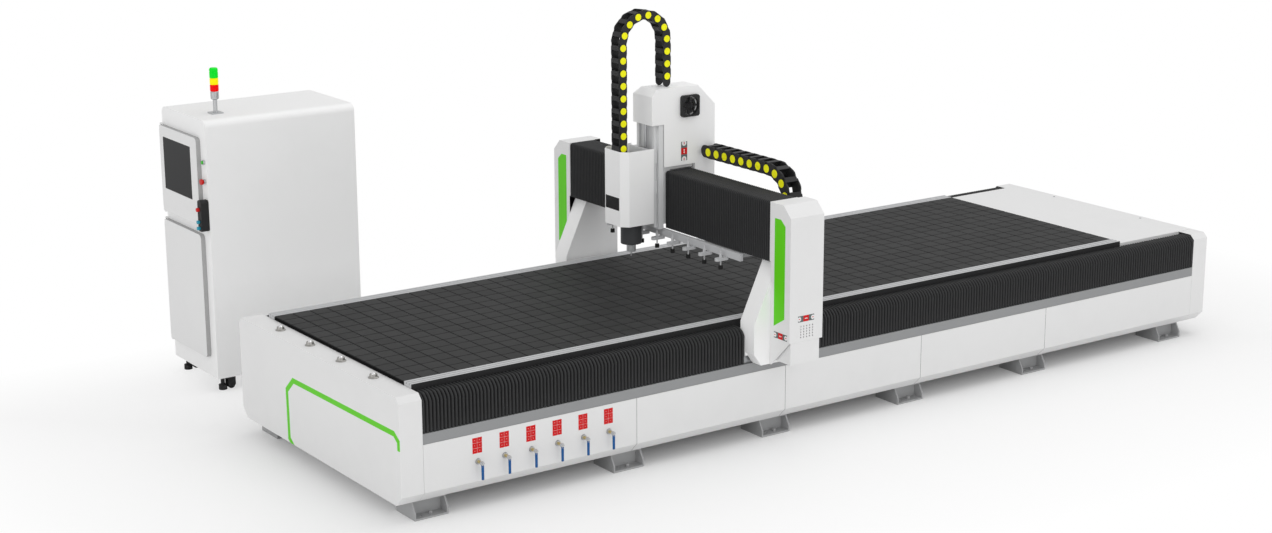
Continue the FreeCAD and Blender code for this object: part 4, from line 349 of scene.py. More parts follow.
# A whiter copy of the white paint: painted light on parts that stand in shade, the legs, column cover, head
# cover and cabinet shell.
powder_coat("painted_light_white", (0.93, 0.93, 0.93))
powder_coat("shaded_paint", (0.42, 0.42, 0.42))
powder_coat("end_paint", WHITE, marks=end_stripe)
powder_coat("grey_paint", (0.3, 0.305, 0.31), 0.45)
powder_coat("foot_paint", (0.4, 0.403, 0.407), 0.5, 0.3)
powder_coat("dark_grey_paint", (0.05, 0.052, 0.055), 0.45)
powder_coat("green_paint", GREEN, 0.35)
powder_coat("cast_iron", (0.72, 0.725, 0.73), 0.42)
machined("aluminium", (0.62, 0.63, 0.64), "x")
machined("steel", (0.5, 0.51, 0.52), "x", 0.35)
machined("upright_steel", (0.6, 0.61, 0.62), "z", 0.28)
machined("chrome", (0.95, 0.95, 0.96), "z", 0.12)
machined("dark_steel", (0.45, 0.44, 0.42), "z")
powder_coat("silver_paint", (0.55, 0.555, 0.565), 0.3)
machined("brass", (0.62, 0.5, 0.22), "y")
moulded("blue_grip", (0.003, 0.085, 0.28), 0.35)
moulded("black_plastic", (0.018, 0.018, 0.019))
moulded("chain_plastic", (0.02, 0.02, 0.021), 0.42)
moulded("yellow_plastic", (0.95, 0.93, 0.0), 0.4)
moulded("green_plastic", (0.06, 0.5, 0.04), 0.3)
moulded("red_plastic", (0.6, 0.012, 0.01), 0.3)
moulded("blue_plastic", (0.02, 0.32, 0.45), 0.3)
moulded("rubber", (0.014, 0.014, 0.014), 0.7, 500)
moulded("label_red", (0.62, 0.0, 0.002), 0.4)
moulded("label_white", WHITE, 0.45)
moulded("label_grey", (0.12, 0.14, 0.14), 0.45)
lens("lens_red", (0.75, 0.0, 0.0))
lens("lens_yellow", (0.85, 0.75, 0.0))
lens("lens_green", (0.0, 0.65, 0.02))
folded_cloth()
table_board()
board_groove()
dark_screen()


# Meshes

# Angles in degrees: edges that shade sharp, edges that get a bevel, faces that count as one
SMOOTH_ANGLE, BEVEL_ANGLE, FLAT_ANGLE = 35, 30, 1
BEVEL_PROFILE = 0.6
SAME_PLACE = 1e-6


def new_object(name, data, paint=None):
    """An object in the scene, with one material where a paint is named."""
    made = bpy.data.objects.new(name, data)
    scene.collection.objects.link(made)
    if paint:
        data.materials.append(PAINTS[paint])
    return made


def smooth(made, angle=SMOOTH_ANGLE):
    """Smooth shading except over sharp edges, with the large faces kept flat."""
    made.data.shade_smooth()
    made.data.set_sharp_from_angle(angle=math.radians(angle))
    made.modifiers.new("flat_faces", "WEIGHTED_NORMAL").keep_sharp = True
    return made


def from_bmesh(name, shape, paint):
    """Turn a bmesh into an object with outward normals."""
    bmesh.ops.recalc_face_normals(shape, faces=shape.faces)
    mesh = bpy.data.meshes.new(name)
    shape.to_mesh(mesh)
    shape.free()
    return smooth(new_object(name, mesh, paint))


def bevelled(shape, width, segments=2, shortest=0.0):
    """Round the sharp edges of a bmesh that are longer than the shortest wanted."""
    sharp = [e for e in shape.edges if len(e.link_faces) == 2 and e.calc_length() > shortest
             and e.calc_face_angle() > math.radians(BEVEL_ANGLE)]
    bmesh.ops.bevel(
        shape, geom=sharp, offset=width, segments=segments, affect="EDGES", profile=BEVEL_PROFILE,
        clamp_overlap=True)
    return shape


def finished(node, paint, width=0.0015, segments=2, shortest=0.0):
    """A copy of a CAD node that stands for it, its edges rounded unless the width is 0."""
    shape = bmesh.new()
    shape.from_mesh(frame["nodes"][node].data)
    bmesh.ops.remove_doubles(shape, verts=shape.verts, dist=SAME_PLACE)
    bmesh.ops.dissolve_limit(
        shape, angle_limit=math.radians(FLAT_ANGLE), verts=shape.verts, edges=shape.edges)
    if width:
        bevelled(shape, width, segments, shortest)
    made = from_bmesh(node + "_look", shape, paint)
    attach(made, frame["nodes"][node]["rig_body"])
    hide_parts(node)
    return made


def repaint(made, paint, chosen):
    """Give a second material to the faces chosen by their centre and normal."""
    made.data.materials.append(PAINTS[paint])
    for face in made.data.polygons:
        face.material_index = int(chosen(face.center, face.normal))


def block(name, low, high, paint, width=0.001):
    """A bevelled block between two corners."""
    shape = bmesh.new()
    bmesh.ops.create_cube(shape, size=1)
    low, high = Vector(low), Vector(high)
    for vertex in shape.verts:
        vertex.co = (low + high) / 2 + Vector(c * s for c, s in zip(vertex.co, high - low))
    return from_bmesh(name, bevelled(shape, width), paint)


TURN = {
    "y": Matrix.Rotation(math.radians(-90), 4, "X"),
    "z": Matrix.Identity(4),
}


def lathe(name, profile, axis, centre, paint, sides=48):
    """A turned piece: pairs of radius and height along the axis, from a centre."""
    shape = bmesh.new()
    rings = []
    for radius, height in profile:
        ring = []
        for i in range(sides):
            angle = 2 * math.pi * i / sides
            ring.append(shape.verts.new((radius * math.cos(angle), radius * math.sin(angle), height)))
        rings.append(ring)
    for lower, upper in zip(rings, rings[1:]):
        for i in range(sides):
            j = (i + 1) % sides
            shape.faces.new((lower[i], lower[j], upper[j], upper[i]))
    shape.faces.new(rings[0][::-1])
    shape.faces.new(rings[-1])
    bmesh.ops.transform(shape, matrix=Matrix.Translation(centre) @ TURN[axis], verts=shape.verts)
    return from_bmesh(name, shape, paint)


FACING = {
    "x": lambda a, b, along: (along, a, b),
    "y": lambda a, b, along: (a, along, b),
}


def plate(name, outline, axis, where, thick, paint, width=0.0):
    """A flat plate: outline pairs across the axis, from one place along it."""
    shape = bmesh.new()
    put = FACING[axis]
    front = [shape.verts.new(put(a, b, where)) for a, b in outline]
    back = [shape.verts.new(put(a, b, where + thick)) for a, b in outline]
    count = len(outline)
    shape.faces.new(front)
    shape.faces.new(back[::-1])
    for i in range(count):
        j = (i + 1) % count
        shape.faces.new((front[i], back[i], back[j], front[j]))
    if width:
        bmesh.ops.recalc_face_normals(shape, faces=shape.faces)
        bevelled(shape, width)
    return from_bmesh(name, shape, paint)


def rectangle(a, b, half_a, half_b):
    """Outline of a rectangle about a place."""
    return [
        (a - half_a, b - half_b), (a + half_a, b - half_b), (a + half_a, b + half_b),
        (a - half_a, b + half_b),
    ]


def joined(name, *pieces):
    """Several objects as one, each keeping its material."""
    shape = bmesh.new()
    mesh = bpy.data.meshes.new(name)
    for piece in pieces:
        for material in piece.data.materials:
            if material.name not in mesh.materials:
                mesh.materials.append(material)
        start = len(shape.faces)
        shape.from_mesh(piece.data)
        shape.faces.ensure_lookup_table()
        for face in shape.faces[start:]:
            own = piece.data.materials[face.material_index]
            face.material_index = mesh.materials.find(own.name)
    for piece in pieces:
        bpy.data.objects.remove(piece)
    shape.to_mesh(mesh)
    shape.free()
    return smooth(new_object(name, mesh))


# Geometry Nodes that repeat a piece

TONE_SEED = 1


def copies_group():
    """Node group: a copy of an object on every point, turned by its own attribute."""
    tree = bpy.data.node_groups.new("copies_on_points", "GeometryNodeTree")
    sockets = {"Geometry": "Geometry", "Copy": "Object", "Material": "Material", "Seed": "Int"}
    for name, kind in sockets.items():
        tree.interface.new_socket(name, in_out="INPUT", socket_type="NodeSocket" + kind)
    tree.interface.new_socket("Geometry", in_out="OUTPUT", socket_type="NodeSocketGeometry")
    add = tree.nodes.new
    entry = add("NodeGroupInput")
    leave = add("NodeGroupOutput")
    source = add("GeometryNodeObjectInfo")
    turn = add("GeometryNodeInputNamedAttribute")
    turn.data_type = "FLOAT_VECTOR"
    turn.inputs["Name"].default_value = "turn"
    rotation = add("FunctionNodeEulerToRotation")
    place = add("GeometryNodeInstanceOnPoints")
    tone = add("FunctionNodeRandomValue")
    tone.data_type = "FLOAT"
    store = add("GeometryNodeStoreNamedAttribute")
    store.domain = "INSTANCE"
    store.data_type = "FLOAT"
    store.inputs["Name"].default_value = "tone"
    real = add("GeometryNodeRealizeInstances")
    cover = add("GeometryNodeSetMaterial")
    for start, out, end, into in (
        (entry, "Geometry", place, "Points"), (entry, "Copy", source, "Object"),
        (source, "Geometry", place, "Instance"), (turn, "Attribute", rotation, "Euler"),
        (rotation, "Rotation", place, "Rotation"), (place, "Instances", store, "Geometry"),
        (entry, "Seed", tone, "Seed"), (tone, 1, store, "Value"), (store, "Geometry", real, "Geometry"),
        (real, "Geometry", cover, "Geometry"), (entry, "Material", cover, "Material"),
        (cover, "Geometry", leave, "Geometry"),
    ):
        tree.links.new(start.outputs[out], end.inputs[into])
    return tree


COPIES = copies_group()


def repeated(name, piece, places, paint, turns=None):
    """One mesh with a copy of a piece at every place."""
    mesh = bpy.data.meshes.new(name + "_points")
    mesh.from_pydata([tuple(p) for p in places], [], [])
    attribute = mesh.attributes.new("turn", "FLOAT_VECTOR", "POINT")
    values = turns or [(0.0, 0.0, 0.0)] * len(places)
    attribute.data.foreach_set("vector", np.array(values, np.float32).ravel())
    holder = new_object(name + "_points", mesh)
    modifier = holder.modifiers.new("copies", "NODES")
    modifier.node_group = COPIES
    wanted = {"Copy": piece, "Material": PAINTS[paint], "Seed": TONE_SEED}
    for item in COPIES.interface.items_tree:
        if item.in_out == "INPUT" and item.name in wanted:
            modifier[item.identifier] = wanted[item.name]
    bpy.context.view_layer.update()
    graph = bpy.context.evaluated_depsgraph_get()
    made_mesh = bpy.data.meshes.new_from_object(holder.evaluated_get(graph))
    made_mesh.name = name
    bpy.data.objects.remove(holder)
    bpy.data.objects.remove(piece)
    return smooth(new_object(name, made_mesh))


def set_blend(made, first, second, weight):
    """Bake a piece's place and work out a weight at each vertex; the weights are not kept and nothing is bent.
    """
    co = np.array([v.co for v in made.data.vertices], float).reshape(-1, 3)
    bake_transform(made)
    shares = np.clip(weight(co), 0, 1).astype(np.float32)


# The bed

# How square a face must be to the bed's length to count as a panel end painted dark as shade in the seams
SEAM_SHADE_FACING = 0.9
STRIP_SHADE_SKIN = 0.0005
TILE_COLUMNS, TILE_ROWS = 48, 14
GROOVE_WIDE, GROOVE_DEEP = 0.0068, 0.006
BALL_UNITS = 4
BALL_RADIUS, BALL_HEIGHT = 0.0149, 0.018
DOME_ANGLES = np.linspace(0.1, 1.56, 10)
BALL_FLANGE_THICK, BALL_FLANGE_TOP, BALL_FLANGE_SHARE = 0.004, 0.006, 0.92
CUP_PROFILE = [
    (0.026, 0.0065), (0.0245, 0.009), (0.024, 0.021), (0.0225, 0.0238), (0.017, 0.0242), (0.0152, 0.0225),
]
SMALL_SIDES = 20
SCREW_PROFILE = [(0.0085, 0), (0.0085, 0.0022), (0.0078, 0.003), (0.0045, 0.003), (0.004, 0.0008)]
SCREW_INSET = 0.045
SCREW_SPREAD = 0.923


def build_bed():
    """Painted sheet metal, frame, feet and the hidden guideways."""
    finished("bed_frame", "grey_paint", width=0.002)
    finished("bed_feet", "foot_paint", width=0.0012)
    finished("left_end_cover", "end_paint", width=0.003, segments=3)
    finished("right_end_cover", "white_paint", width=0.003, segments=3)
    finished("deck_plate", "white_paint", width=0.0012)
    finished("valve_panel", "white_paint", width=0.001)
    panels = finished("side_panels", "white_paint", width=0.001)
    # The ends of the side panels, in the seams between them, get dark grey as painted shade.
    repaint(panels, "dark_grey_paint", lambda centre, normal: abs(normal.x) > SEAM_SHADE_FACING)
    finished("x_guideway", "steel", width=0.001)
    finished("vacuum_manifold", "black_plastic", width=0)
    strips = finished("edge_strips", "silver_paint", width=0.0008, segments=1)
    # The outer faces of the edge strips get black as painted shade, in the dark gap by the bellows.
    low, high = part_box("edge_strips")
    outer = (low.y + STRIP_SHADE_SKIN, high.y - STRIP_SHADE_SKIN)
    repaint(strips, "black_plastic", lambda centre, normal: not outer[0] < centre.y < outer[1])


def build_table():
    """Board of tiles with open grooves between them."""
    low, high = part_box("vacuum_table")
    pitch_x, pitch_y = (high.x - low.x) / TILE_COLUMNS, (high.y - low.y) / TILE_ROWS
    half_x, half_y = (pitch_x - GROOVE_WIDE) / 2, (pitch_y - GROOVE_WIDE) / 2
    base = block("table_base", low, (high.x, high.y, high.z - GROOVE_DEEP), "board_groove", width=0)
    tile = block(
        "tile", (-half_x, -half_y, -GROOVE_DEEP), (half_x, half_y, 0), "table_board", width=0.0012)
    places = [
        (low.x + (i + 0.5) * pitch_x, low.y + (j + 0.5) * pitch_y, high.z)
        for i in range(TILE_COLUMNS) for j in range(TILE_ROWS)
    ]
    tiles = repeated("table_tiles", tile, places, "table_board")
    board = joined("vacuum_table_look", base, tiles)
    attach(board, "bed")
    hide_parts("vacuum_table")


def build_ball_units():
    """Ball transfer units: a pressed flange and cup with the ball in it."""
    low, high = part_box("ball_transfer_units")
    x = (low.x + high.x) / 2
    reach = (high.x - low.x) / 2
    step = (high.y - low.y - 2 * reach) / (BALL_UNITS - 1)
    places = [(x, low.y + reach + step * i, low.z) for i in range(BALL_UNITS)]
    flange = [(reach, 0), (reach, BALL_FLANGE_THICK), (reach * BALL_FLANGE_SHARE, BALL_FLANGE_TOP)]
    cup = lathe("cup", flange + CUP_PROFILE, "z", (0, 0, 0), "dark_steel")
    dome = [(BALL_RADIUS * math.cos(a), BALL_HEIGHT + BALL_RADIUS * math.sin(a)) for a in DOME_ANGLES]
    ball = lathe("ball", dome, "z", (0, 0, 0), "chrome")
    housings = repeated("ball_housings", cup, places, "dark_steel")
    balls = repeated("ball_tops", ball, places, "chrome")
    units = joined("ball_units_look", housings, balls)
    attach(units, "bed")
    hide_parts("ball_transfer_units")


def build_screws():
    """The two socket screws at the end of the deck plate."""
    x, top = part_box("deck_plate")[1].xz
    places = [(x - SCREW_INSET, MIDDLE + side * SCREW_SPREAD / 2, top) for side in (-1, 1)]
    screw = lathe("screw", SCREW_PROFILE, "z", (0, 0, 0), "steel", sides=SMALL_SIDES)
    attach(repeated("deck_screws", screw, places, "steel"), "bed")


# Bellows

# One pleat, as shares of its pitch and of its depth: the ridge in the middle, a valley at each end
PLEAT_SHARES = [(0.0, 1.0), (0.2, 0.25), (0.38, 0.02), (0.62, 0.02), (0.8, 0.25), (1.0, 1.0)]
PLEAT_MERGE = 1e-5
CLOTH_THICK = 0.0012
CLOTH_SMOOTH_ANGLE = 50
RAILS_BELOW = 0.3
FLANK_PITCH, FLANK_DEPTH = 0.025, 0.014
FLANK_SHELF, FLANK_CHAMFER = 0.118, 0.04
FLANK_CORNER, FLANK_CORNER_STEPS = 0.02, 4
BEAM_PITCH, BEAM_DEPTH = 0.019, 0.013
BEAM_CHAMFER = 0.012
BEAM_CORNER, BEAM_CORNER_STEPS = 0.008, 3


def pleat_section(points, corner_steps, radius):
    """The open section of a bellows with its corners rounded."""
    points = [Vector(p) for p in points]
    section = [points[0]]
    for before, corner, after in zip(points, points[1:], points[2:]):
        start = corner + (before - corner).normalized() * radius
        end = corner + (after - corner).normalized() * radius
        for i in range(corner_steps + 1):
            share = i / corner_steps
            section.append(
                start * (1 - share) ** 2 + corner * 2 * share * (1 - share) + end * share ** 2)
    return section + [points[-1]]


def inwards(section, depth):
    """The section moved to its inner side by a depth."""
    moved = []
    for i, point in enumerate(section):
        before, after = section[max(i - 1, 0)], section[min(i + 1, len(section) - 1)]
        along = (after - before).normalized()
        moved.append(point + Vector((-along.y, along.x)) * depth)
    return moved


def pleat(name, axis, section, depth, step):
    """One pleat, with its height towards the ridge stored on it."""
    shape = bmesh.new()
    ridge = shape.verts.layers.float.new("ridge")
    rows = []
    for along, share in PLEAT_SHARES:
        row = []
        for point in inwards(section, share * depth):
            vertex = shape.verts.new(
                (along * step, *point) if axis == "x" else (point.x, along * step, point.y))
            vertex[ridge] = 1 - share
            row.append(vertex)
        rows.append(row)
    for first, second in zip(rows, rows[1:]):
        for i in range(len(first) - 1):
            shape.faces.new((first[i], second[i], second[i + 1], first[i + 1]))
    mesh = bpy.data.meshes.new(name)
    shape.to_mesh(mesh)
    shape.free()
    return new_object("pleat", mesh, "bellows_cloth")


def face_outwards(made):
    """Merge the pleats and turn their faces away from the rails that they cover."""
    shape = bmesh.new()
    shape.from_mesh(made.data)
    bmesh.ops.remove_doubles(shape, verts=shape.verts, dist=PLEAT_MERGE)
    bmesh.ops.recalc_face_normals(shape, faces=shape.faces)
    middle = sum((f.calc_center_median() for f in shape.faces), Vector((0, 0, 0))) / len(shape.faces)
    inner = middle - Vector((0, 0, RAILS_BELOW))
    if sum((f.calc_center_median() - inner).dot(f.normal) for f in shape.faces) < 0:
        bmesh.ops.reverse_faces(shape, faces=shape.faces)
    shape.to_mesh(made.data)
    shape.free()


def bellows(name, axis, section, span, depth, pitch, bodies, weight):
    """Fine pleats over a span."""
    count = round((span[1] - span[0]) / pitch)
    step = (span[1] - span[0]) / count
    unit = Vector((1, 0, 0)) if axis == "x" else Vector((0, 1, 0))
    places = [unit * (span[0] + i * step) for i in range(count)]
    made = repeated(name, pleat(name, axis, section, depth, step), places, "bellows_cloth")
    face_outwards(made)
    wall = made.modifiers.new("wall", "SOLIDIFY")
    wall.thickness = CLOTH_THICK
    wall.offset = -1
    smooth(made, CLOTH_SMOOTH_ANGLE)
    set_blend(made, *bodies, weight)
    return made


def straight_weight(axis, start, end):
    """0 at the start and 1 at the end along an axis, evenly in between."""
    return lambda co: (co[:, axis] - start) / (end - start)


def build_x_bellows():
    """Bellows over the X rails on both flanks, on both sides of the gantry."""
    left_box, right_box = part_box("left_x_bellows"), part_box("right_x_bellows")
    base, top = left_box[0].z, left_box[1].z
    near_points = [
        (NEAR + FLANK_SHELF, top), (NEAR + FLANK_CHAMFER, top), (NEAR, top - FLANK_CHAMFER), (NEAR, base),
    ]
    far_points = [(2 * MIDDLE - y, z) for y, z in near_points[::-1]]
    for end, box, fixed, moving in (
        ("left", left_box, left_box[0].x, left_box[1].x),
        ("right", right_box, right_box[1].x, right_box[0].x),
    ):
        for side, points in (("near", near_points), ("far", far_points)):
            bellows(
                f"{end}_{side}_x_bellows", "x", pleat_section(points, FLANK_CORNER_STEPS, FLANK_CORNER),
                (box[0].x, box[1].x), FLANK_DEPTH, FLANK_PITCH, ("bed", "gantry"),
                straight_weight(0, fixed, moving))
        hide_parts(f"{end}_x_bellows")


def build_beam_bellows():
    """Bellows over the beam on both sides of the saddle."""
    for end, fixed_index in (("near", 0), ("far", 1)):
        low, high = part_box(f"{end}_y_bellows")
        points = [
            (high.x, high.z), (low.x + BEAM_CHAMFER, high.z), (low.x, high.z - BEAM_CHAMFER), (low.x, low.z),
        ]
        ends = (low.y, high.y)
        made = bellows(
            f"{end}_beam_bellows", "y", pleat_section(points, BEAM_CORNER_STEPS, BEAM_CORNER), ends,
            BEAM_DEPTH, BEAM_PITCH, ("gantry", "saddle"),
            straight_weight(1, ends[fixed_index], ends[1 - fixed_index]))
        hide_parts(f"{end}_y_bellows")


# Valves

VALVES = 6
NECK_LONG = 0.0085
LEVER_PLATED = 0.034
LABEL_WIDE, LABEL_TALL = 0.068, 0.1
LABEL_ASIDE, LABEL_ABOVE = 0.004, 0.147
CELL_MARGIN = 0.0006
DASH_HALF_WIDE, DASH_HALF_TALL = 0.0024, 0.0012
LABEL_BACK = 0.0001
PLATE_LIFT, CELL_LIFT, DASH_LIFT = 0.0006, 0.0009, 0.0012


def build_valves():
    """Plated ball valves with brass necks and dipped lever grips, and their red labels."""
    bodies = finished("ball_valves", "upright_steel", width=0.001)
    repaint(bodies, "brass", lambda centre, normal: centre.y < NEAR - NECK_LONG)
    for i in range(1, VALVES + 1):
        node = f"valve_lever_{i}"
        low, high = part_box(node)
        made = finished(node, "blue_grip", width=0.0006, segments=1)
        split = high.z - LEVER_PLATED
        repaint(made, "upright_steel", lambda centre, normal: centre.z > split)
        build_valve_label(
            i, (low.x + high.x) / 2 - LABEL_ASIDE, (low.z + high.z) / 2 + LABEL_ABOVE)


def build_valve_label(number, x, z):
    """White plate with two columns of three red squares, each with a plain mark."""
    half_wide, half_tall = LABEL_WIDE / 2, LABEL_TALL / 2
    cell_wide, cell_tall = half_wide / 2 - CELL_MARGIN, half_tall / 3 - CELL_MARGIN
    pieces = []

    def patch(title, a, b, half_a, half_b, lift, paint):
        """A flat patch about a place on the label, lifted above the ones below it."""
        outline = rectangle(a, b, half_a, half_b)
        pieces.append(plate(title, outline, "y", NEAR - lift, lift - LABEL_BACK, paint))

    patch("plate", x, z, half_wide, half_tall, PLATE_LIFT, "label_white")
    for row in (-1, 0, 1):
        for side in (-1, 1):
            a, b = x + side * half_wide / 2, z + row * half_tall * 2 / 3
            patch("cell", a, b, cell_wide, cell_tall, CELL_LIFT, "label_red")
            patch("dash", a, b, DASH_HALF_WIDE, DASH_HALF_TALL, DASH_LIFT, "label_white")
    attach(joined(f"valve_label_{number}", *pieces), "bed")


# Gantry

PAD_TALL = 0.0265

# Spans of the vent holes, from the front of the gantry and from the floor
VENTS_AHEAD, VENTS_HEIGHT = (0.08, 0.2), (0.75, 0.86)
VENT_SKIN = 0.0004

MARK_LIFT = 0.0006
LEG_MARK_PLACE, LEG_MARK_SIZE = (0.09, 0.7655), (0.133, 0.041)
Y_MARK_PLACE, Y_MARK_SIZE = (0.135, 0.886), (0.132, 0.04)
Z_MARK_PLACE, Z_MARK_SIZE = (0.1395, 1.7535), (0.131, 0.051)

# Green inlay of a leg, from the outer face of the leg cover and from its top or the floor
INLAY_OUTER, INLAY_CORNER, INLAY_INNER = 0.054, 0.099, 0.161
INLAY_TOP_DROP, INLAY_CORNER_DROP = 0.097, 0.136
INLAY_INNER_FOOT, INLAY_OUTER_FOOT = 0.82, 0.884


def build_gantry():
    """Legs, covers, beam, press bar and the drives under the covers."""
    # The legs take the whiter copy of the white paint, as painted light.
    finished("gantry_legs", "painted_light_white", width=0.004, segments=3)
    finished("gantry_beam", "white_paint", width=0.002)
    covers = finished("leg_covers", "white_paint", width=0.0025, segments=3, shortest=0.02)
    # The walls and bottoms of the vent holes are painted black as shade in the holes.
    repaint(covers, "black_plastic", in_vent_shade)
    for node in ("x_carriages", "y_guideway", "x_pinions", "y_pinion"):
        finished(node, "steel", width=0)
    finished("x_motors", "black_plastic", width=0.003)
    finished("press_bar", "silver_paint")
    made = finished("press_feet", "silver_paint", width=0.001)
    pad_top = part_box("press_feet")[0].z + PAD_TALL
    repaint(made, "rubber", lambda centre, normal: centre.z < pad_top)


def in_vent_shade(centre, normal):
    """True on the walls and bottoms of the vent holes in both leg covers, which are painted black as shade."""
    inside = min(centre.y - LEG_OUTER, 2 * MIDDLE - LEG_OUTER - centre.y)
    ahead, height = centre.x - GANTRY, centre.z
    return (VENTS_AHEAD[0] < ahead < VENTS_AHEAD[1] and VENTS_HEIGHT[0] < height < VENTS_HEIGHT[1]
            and inside > VENT_SKIN)


def build_leg_marks():
    """Green inlays and axis labels of both legs."""
    x = GANTRY - MARK_LIFT
    inlay = [
        (INLAY_OUTER, LEG_TOP - INLAY_CORNER_DROP), (INLAY_CORNER, LEG_TOP - INLAY_TOP_DROP),
        (INLAY_INNER, LEG_TOP - INLAY_TOP_DROP), (INLAY_INNER, INLAY_INNER_FOOT),
        (INLAY_OUTER, INLAY_OUTER_FOOT),
    ]
    for name, start, side in (("near", LEG_OUTER, 1), ("far", 2 * MIDDLE - LEG_OUTER, -1)):
        strip = plate("strip", [(start + side * y, z) for y, z in inlay], "x", x, MARK_LIFT, "green_paint")
        place = (start + side * LEG_MARK_PLACE[0], LEG_MARK_PLACE[1])
        label = axis_label("mark", "x", x - MARK_LIFT, place, LEG_MARK_SIZE)
        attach(joined(f"{name}_leg_marks", strip, label), "gantry")
    place = (GANTRY + Y_MARK_PLACE[0], Y_MARK_PLACE[1])
    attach(axis_label("gantry_y_mark", "y", LEG_OUTER - MARK_LIFT, place, Y_MARK_SIZE), "gantry")


# Parts of an axis label, each from its middle, as shares of the short side
ARROW_TIP_SHARE, ARROW_NECK_SHARE, ARROW_BAR_SHARE = 0.3, 0.14, 0.05
DISC_SHARE = 0.37
DASH_LONG_SHARE, DASH_TALL_SHARE = 0.16, 0.06
AXIS_LABEL_THICK, AXIS_LABEL_LIFT = 0.0005, 0.0002
DISC_SIDES = 24


def axis_label(name, axis, where, centre, size, upright=False):
    """Axis sign without a letter: red square with a double arrow between two discs on grey."""
    long, short = size
    sixth = long / 6
    tip, neck, bar = ARROW_TIP_SHARE * short, ARROW_NECK_SHARE * short, ARROW_BAR_SHARE * short
    arrow = [
        (-tip, 0), (-neck, neck), (-neck, bar), (neck, bar), (neck, neck), (tip, 0), (neck, -neck),
        (neck, -bar), (-neck, -bar), (-neck, -neck),
    ]

    def patch(title, outline, lift, paint):
        """A flat patch a little above the ones below it, from points along and across the label."""
        placed = [
            (centre[0] + v, centre[1] + u) if upright else (centre[0] + u, centre[1] + v)
            for u, v in outline
        ]
        return plate(title, placed, axis, where - lift, AXIS_LABEL_THICK + lift, paint)

    pieces = [
        patch("back", rectangle(0, 0, long / 2, short / 2), 0, "label_grey"),
        patch("square", rectangle(0, 0, sixth, short / 2), AXIS_LABEL_LIFT, "label_red"),
        patch("arrow", arrow, 2 * AXIS_LABEL_LIFT, "label_white"),
    ]
    for end in (-1, 1):
        middle = end * (long / 2 - sixth / 2)
        disc = [
            (middle + DISC_SHARE * short * math.cos(t), DISC_SHARE * short * math.sin(t))
            for t in np.linspace(0, 2 * math.pi, DISC_SIDES, endpoint=False)
        ]
        dash = rectangle(middle, 0, DASH_LONG_SHARE * short, DASH_TALL_SHARE * short)
        pieces.append(patch("disc", disc, AXIS_LABEL_LIFT, "label_white"))
        pieces.append(patch("dash", dash, 2 * AXIS_LABEL_LIFT, "label_red"))
    return joined(name, *pieces)


# Cable chains

Y_LINK_RADIUS, Y_LINK_PITCH, Y_CAP_SHARE = 0.043, 0.092, 0.64
Z_LINK_RADIUS, Z_LINK_PITCH, Z_CAP_SHARE = 0.031, 0.086, 0.75
CHAIN_GAP = 0.0003
LINK_WALL_SHARE = 0.05
LINK_SPACE = 0.0015
LINK_EDGE = 0.0012
LINK_BAR_THICK = 0.005
LINK_BAR_SHARES = (0.3, 0.7)
LINK_NOSE_TURNS = np.linspace(math.pi / 2, -math.pi / 2, 9)
CAP_THICK, CAP_RIM, CAP_FACE_SHARE = 0.0022, 0.0015, 0.9


def link_piece(pitch, wide, radius):
    """One chain link: two cranked side plates with round ends and two crossbars."""
    wall = LINK_WALL_SHARE * wide
    nose = [(pitch + radius * math.cos(t), radius * math.sin(t)) for t in LINK_NOSE_TURNS]
    tail = [(-radius * math.cos(t), radius * math.sin(t)) for t in LINK_NOSE_TURNS]
    shoulder = radius + LINK_SPACE
    outer = nose + [(shoulder, -radius), (shoulder, radius)]
    inner = tail + [(pitch - shoulder, -radius), (pitch - shoulder, radius)]
    pieces = []
    for outline, places in (
        (outer, (wide / 2 - wall, -wide / 2)), (inner, (wide / 2 - 2 * wall, -wide / 2 + wall)),
    ):
        for where in places:
            pieces.append(plate("side", outline, "y", where, wall, "chain_plastic", LINK_EDGE))
    start, end = (share * pitch for share in LINK_BAR_SHARES)
    reach = wide / 2 - wall
    for height in (radius - LINK_BAR_THICK, -radius):
        pieces.append(block(
            "bar", (start, -reach, height), (end, reach, height + LINK_BAR_THICK), "chain_plastic"))
    return joined("link", *pieces)


def chain_caps(pitch, wide, radius):
    """The yellow round caps on both sides of a link, of the given radius."""
    caps = []
    profile = [(radius, 0), (radius, CAP_RIM), (radius * CAP_FACE_SHARE, CAP_THICK)]
    for side in (-1, 1):
        cap = lathe("cap", profile, "y", (pitch / 2, 0, 0), "yellow_plastic", sides=SMALL_SIDES)
        if side == -1:
            cap.data.transform(Matrix.Scale(-1, 4, (0, 1, 0)))
            cap.data.flip_normals()
        cap.data.transform(Matrix.Translation((0, side * wide / 2, 0)))
        caps.append(cap)
    return joined("caps", *caps)


def pins_along(length, pitch, upper, radius, place_at):
    """Pins at even steps along a straight run, a half circle and a straight run back."""
    count = round(length / pitch)
    pins = []
    for i in range(count + 1):
        run = length * i / count
        angle = min(max((run - upper) / radius, 0), math.pi)
        before, after = min(run, upper), max(run - upper - math.pi * radius, 0)
        pins.append(place_at(before, angle, after))
    return pins, length / count


def build_chain(name, node, pins, across, link, caps, bodies, weight):
    """Links and caps set from pin to pin."""
    turns = []
    for start, stop in zip(pins, pins[1:]):
        along = (stop - start).normalized()
        turn = Matrix((along, across, along.cross(across))).transposed()
        turns.append(tuple(turn.to_euler()))
    links = repeated(name + "_links", link, pins[:-1], "chain_plastic", turns)
    dots = repeated(name + "_caps", caps, pins[:-1], "yellow_plastic", turns)
    made = joined(name, links, dots)
    set_blend(made, *bodies, weight)
    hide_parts(node)


